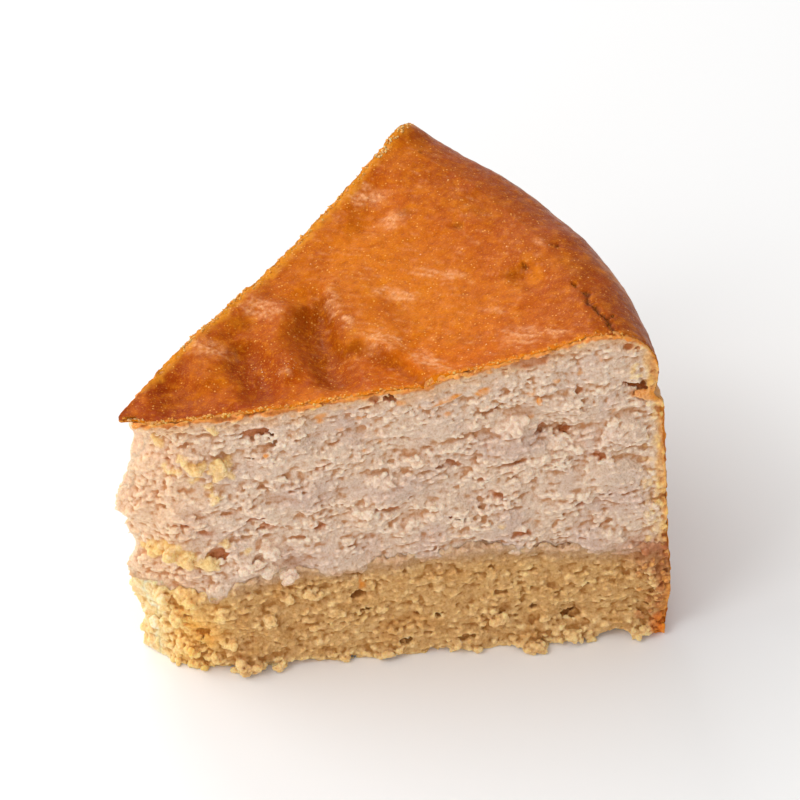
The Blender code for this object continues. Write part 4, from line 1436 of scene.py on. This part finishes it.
def make_crumbs(outer, radius, across):
    """Small crumbs along the edges of the skin, as one mesh."""
    ball = bmesh.new()
    bmesh.ops.create_icosphere(ball, subdivisions=1, radius=1.0)
    points = np.array([corner.co[:] for corner in ball.verts])
    sides = np.array([[corner.index for corner in face.verts] for face in ball.faces])
    ball.free()
    rng = np.random.default_rng(CRUMB_SEED)
    corners, faces, colours = [], [], []
    for spot, sizes, pair in crumb_spots(rng, outer, radius, across):
        size = sizes[0] + (sizes[1] - sizes[0]) * rng.random() ** 2
        form = size * rng.uniform(0.7, 1.25, 3) * (1.0, 1.0, 0.8)
        lumpy = points * form * (1.0 + 0.22 * rng.standard_normal((len(points), 1)))
        faces.append(sides + len(points) * len(corners))
        corners.append(spot + lumpy + (0.0, 0.0, 0.15 * size))
        mix = rng.random()
        colour = linear(*pair[0]) * (1.0 - mix) + linear(*pair[1]) * mix
        colours.append(np.tile(colour, (len(points), 1)))
    corners = np.concatenate(corners)
    corners[:, 0] -= ORIGIN_FROM_CENTRE
    item = make_object("edge_crumbs", corners, (np.concatenate(faces),))
    store_colours(item, np.concatenate(colours))
    return item


class Shader:
    """A node material built up from a Principled shader."""

    def __init__(self, name, roughness, specular, subsurface=None):
        """A material, with the subsurface light's weight, scale and radius if it has any."""
        self.material = bpy.data.materials.new(name)
        self.material.use_nodes = True
        self.tree = self.material.node_tree
        self.shader = self.tree.nodes["Principled BSDF"]
        self.connect("Roughness", roughness)
        self.connect("Specular IOR Level", specular)
        if subsurface:
            for part, value in zip(("Weight", "Scale", "Radius"), subsurface):
                self.connect("Subsurface " + part, value)
        self.place = self.tree.nodes.new("ShaderNodeTexCoord").outputs["Object"]

    def node(self, kind, **inputs):
        """A node with values or links on its inputs, named by socket."""
        node = self.tree.nodes.new("ShaderNode" + kind)
        for socket, value in inputs.items():
            self.set(node, socket, value)
        return node

    def set(self, node, socket, value):
        """Put a value, a named tone or a link on an input."""
        target = node.inputs[int(socket[1:])] if socket[1:].isdigit() else node.inputs[socket]
        if isinstance(value, bpy.types.NodeSocket):
            self.tree.links.new(value, target)
        elif isinstance(value, str):
            target.default_value = (*tone(value), 1.0)
        else:
            target.default_value = value

    def noise(self, size, detail=3.0, roughness=0.55, stretch=(1.0, 1.0, 1.0)):
        """Noise from 0 to 1 with cells of a size in millimetres."""
        mapped = self.node("Mapping", Vector=self.place, Scale=[1.0 / part for part in stretch])
        node = self.node(
            "TexNoise", Vector=mapped.outputs[0], Scale=1.0 / (size * MM),
            Detail=detail, Roughness=roughness,
        )
        return node.outputs["Fac"]

    def spots(self, size):
        """The distance from scattered points, in cells of a size in millimetres."""
        node = self.node("TexVoronoi", Vector=self.place, Scale=1.0 / (size * MM))
        return node.outputs["Distance"]

    def ranged(self, value, low, high, to_low=0.0, to_high=1.0):
        """A value mapped smoothly from one range to another."""
        node = self.node("MapRange")
        node.interpolation_type = "SMOOTHSTEP"
        for index, part in enumerate((value, low, high, to_low, to_high)):
            self.set(node, f"i{index}", part)
        return node.outputs[0]

    def mixed(self, share, first, second, kind="MIX"):
        """Two colours mixed by a share."""
        node = self.tree.nodes.new("ShaderNodeMix")
        node.data_type = "RGBA"
        node.blend_type = kind
        self.set(node, "i0", share)
        self.set(node, "i6", first)
        self.set(node, "i7", second)
        return node.outputs[2]

    def tint(self):
        """The colour stored on the mesh."""
        node = self.tree.nodes.new("ShaderNodeVertexColor")
        node.layer_name = "tint"
        return node.outputs["Color"]

    def marked(self, name):
        """An amount stored on the mesh."""
        node = self.tree.nodes.new("ShaderNodeAttribute")
        node.attribute_name = name
        return node.outputs["Fac"]

    def product(self, first, second):
        """Two values multiplied."""
        node = self.node("Math", i0=first, i1=second)
        node.operation = "MULTIPLY"
        return node.outputs[0]

    def speckled(self, fine, dark, light):
        """The mesh's colour, multiplied by a dark and a light one as fine noise has it."""
        colour = self.mixed(self.ranged(fine, 0.42, 0.7), self.tint(), dark, "MULTIPLY")
        return self.mixed(self.ranged(fine, 0.45, 0.25), colour, light, "MULTIPLY")

    def bump(self, height, distance, strength, below=None):
        """A bumped normal, over another if one is given."""
        node = self.node("Bump", Height=height, Distance=distance * MM, Strength=strength)
        if below is not None:
            self.set(node, "Normal", below)
        return node.outputs[0]

    def connect(self, socket, value):
        """Put a value, a named tone or a link on the shader."""
        self.set(self.shader, socket, value)


def grey(value):
    """A grey colour."""
    return (value, value, value, 1.0)


def cream_material():
    """Moist torn cream."""
    food = Shader("torn_cream", 0.55, 0.4, (0.8, 0.0006, (1.0, 0.8, 0.6)))
    fine = food.noise(0.4, 4.0, 0.65)
    food.connect("Base Color", food.speckled(fine, (0.88, 0.78, 0.66, 1.0), (1.03, 1.08, 1.13, 1.0)))
    normal = food.bump(fine, 0.3, 0.7)
    normal = food.bump(food.spots(0.8), 0.25, 0.5, normal)
    food.connect("Normal", food.bump(food.spots(0.42), 0.15, 0.6, normal))
    food.connect("Roughness", food.ranged(food.noise(2.0), 0.3, 0.7, 0.42, 0.65))
    return food.material


def sponge_material():
    """Dry crumbly sponge."""
    food = Shader("sponge_crumb", 0.8, 0.3, (0.8, 0.0012, (1.0, 0.75, 0.45)))
    fine = food.noise(0.45, 4.0, 0.7)
    food.connect("Base Color", food.speckled(fine, (0.84, 0.74, 0.58, 1.0), (1.06, 1.12, 1.2, 1.0)))
    normal = food.bump(fine, 0.3, 0.7)
    food.connect("Normal", food.bump(food.spots(0.45), 0.15, 0.6, normal))
    food.connect("Roughness", food.ranged(food.noise(1.5), 0.3, 0.7, 0.65, 0.85))
    return food.material


def skin_material():
    """Browned skin with a satin sheen and fine golden grains."""
    food = Shader("browned_skin", 0.36, 0.11, (0.15, 0.0006, (1.0, 0.4, 0.15)))
    food.connect("Specular Tint", "skin sheen")
    mottle = food.noise(1.4, 5.0, 0.65)
    grain = food.noise(0.33, 3.0, 0.65)
    colour = food.mixed(food.ranged(mottle, 0.48, 0.75, 0.0, 0.45), food.tint(), "light mottle")
    colour = food.mixed(food.ranged(mottle, 0.5, 0.25, 0.0, 0.5), colour, "dark mottle")
    colour = food.mixed(food.ranged(grain, 0.52, 0.75, 0.0, 0.5), colour, "light grain")
    colour = food.mixed(food.ranged(grain, 0.48, 0.25, 0.0, 0.4), colour, "dark grain")
    # Pale specks, partly golden grains and partly painted glints
    specks = food.ranged(food.spots(0.85), 0.24, 0.1, 0.0, 0.9)
    specks = food.product(specks, food.ranged(food.noise(3.5, 3.0), 0.4, 0.6, 0.15, 0.7))
    colour = food.mixed(specks, colour, "speck")
    colour = food.mixed(food.ranged(food.spots(3.1), 0.06, 0.03, 0.0, 0.7), colour, "pale speck")
    # Pale scuffs and painted sheen, laid on where the mesh stores them
    scuffs_and_sheen = food.ranged(food.noise(0.6, 3.0), 0.35, 0.65, 0.25, 0.8)
    food.connect("Base Color", food.mixed(food.product(food.marked("scuff_and_sheen"), scuffs_and_sheen), colour, "scuff_and_sheen"))
    normal = food.bump(mottle, 0.3, 0.55)
    normal = food.bump(food.noise(3.2, 3.0, 0.5), 0.5, 0.35, normal)
    food.connect("Normal", food.bump(grain, 0.12, 0.5, normal))
    food.connect("Roughness", food.ranged(food.noise(1.6, 4.0), 0.3, 0.7, 0.28, 0.46))
    return food.material


def crumb_material():
    """Golden crumbs along the skin's edges."""
    food = Shader("edge_crumb", 0.6, 0.5, (0.4, 0.0006, (1.0, 0.5, 0.2)))
    fine = food.noise(0.25, 3.0, 0.6)
    food.connect("Base Color", food.mixed(food.ranged(fine, 0.4, 0.7, 0.0, 0.4), food.tint(), "dark crumb"))
    food.connect("Normal", food.bump(fine, 0.1, 0.5))
    return food.material


def floor_material():
    """A plain pale floor."""
    floor = Shader("pale_floor", 0.7, 0.2)
    share = floor.ranged(floor.noise(400.0), 0.3, 0.7)
    floor.connect("Base Color", floor.mixed(share, grey(0.93), grey(0.95)))
    return floor.material


# The soft lights: name, azimuth, elevation, distance, size, energy, colour
LIGHTS = (
    ("key", -105.0, 42.0, 1.1, (0.85, 0.85), 6.2, (1.0, 0.99, 0.97)),
    ("sheen", -158.0, 36.0, 1.0, (0.4, 0.25), 2.0, (1.0, 1.0, 1.0)),
    ("left", -45.0, 44.0, 1.0, (0.4, 0.5), 2.6, (1.0, 1.0, 1.0)),
    ("front", -10.0, 25.0, 1.2, (0.6, 0.6), 2.0, (1.0, 1.0, 1.0)),
)
# The place that the lights aim at, half the floor's width and the camera's reach, in metres
LIGHT_AIM = (0.0, 0.0, 0.03)
FLOOR_HALF = 3.0
CAMERA_REACH = 20.0
WORLD_STRENGTH = 0.5


def heading(azimuth, elevation):
    """The direction towards a light, measured from the camera's side and the horizon."""
    around = math.radians(CAMERA_AZIMUTH + azimuth)
    above = math.radians(elevation)
    return Vector((
        math.sin(around) * math.cos(above), -math.cos(around) * math.cos(above), math.sin(above),
    ))


def placed(name, data, place, target):
    """A camera or a light at a place, looking at a target."""
    item = bpy.data.objects.new(name, data)
    bpy.context.scene.collection.objects.link(item)
    turn = (target - place).to_track_quat("-Z", "Y").to_matrix().to_4x4()
    item.matrix_world = Matrix.Translation(place) @ turn
    return item


def area_light(name, azimuth, elevation, distance, size, energy, colour):
    """A soft light aimed at the slice."""
    light = bpy.data.lights.new(name, "AREA")
    light.shape = "RECTANGLE"
    light.size, light.size_y = size
    light.energy = energy
    light.color = colour
    target = Vector(LIGHT_AIM)
    placed(name, light, target + heading(azimuth, elevation) * distance, target)


def make_camera():
    """The camera at the photograph's viewing angle."""
    camera = bpy.data.cameras.new("camera")
    camera.lens = LENS
    camera.sensor_width = SENSOR
    camera.clip_end = CAMERA_REACH
    target = Vector(CAMERA_AIM) * MM
    place = target + heading(0.0, CAMERA_ELEVATION) * (CAMERA_DISTANCE * MM)
    bpy.context.scene.camera = placed("camera", camera, place, target)


def make_floor():
    """The floor, which isn't part of the food."""
    half = FLOOR_HALF / MM
    corners = np.array(((-half, -half, 0.0), (half, -half, 0.0), (half, half, 0.0), (-half, half, 0.0)))
    item = make_object("floor", corners, (np.array(((0, 1, 2, 3),)),))
    item.data.materials.append(floor_material())


def make_studio():
    """Plain light from all round and the soft lights, with plain colours in the picture."""
    scene = bpy.context.scene
    scene.world = bpy.data.worlds.new("studio")
    scene.world.use_nodes = True
    background = scene.world.node_tree.nodes["Background"]
    background.inputs["Color"].default_value = grey(1.0)
    background.inputs["Strength"].default_value = WORLD_STRENGTH
    for light in LIGHTS:
        area_light(*light)
    scene.view_settings.view_transform = "Standard"


def dress(item, material, node=None):
    """Give a piece its material and its body, and hide the solid of the node it stands for."""
    item.data.materials.append(material)
    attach(item, "root")
    if node:
        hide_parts(node)


def main():
    """Build all the pieces, the floor, the camera and the lights."""
    cream, sponge = cream_material(), sponge_material()
    for far in (False, True):
        dress(sculpt_cream(far), cream, "filling")
        dress(sculpt_sponge(far), sponge, "base")
    skin, crumbs = make_skin()
    dress(skin, skin_material())
    dress(crumbs, crumb_material())
    make_floor()
    make_camera()
    make_studio()


main()
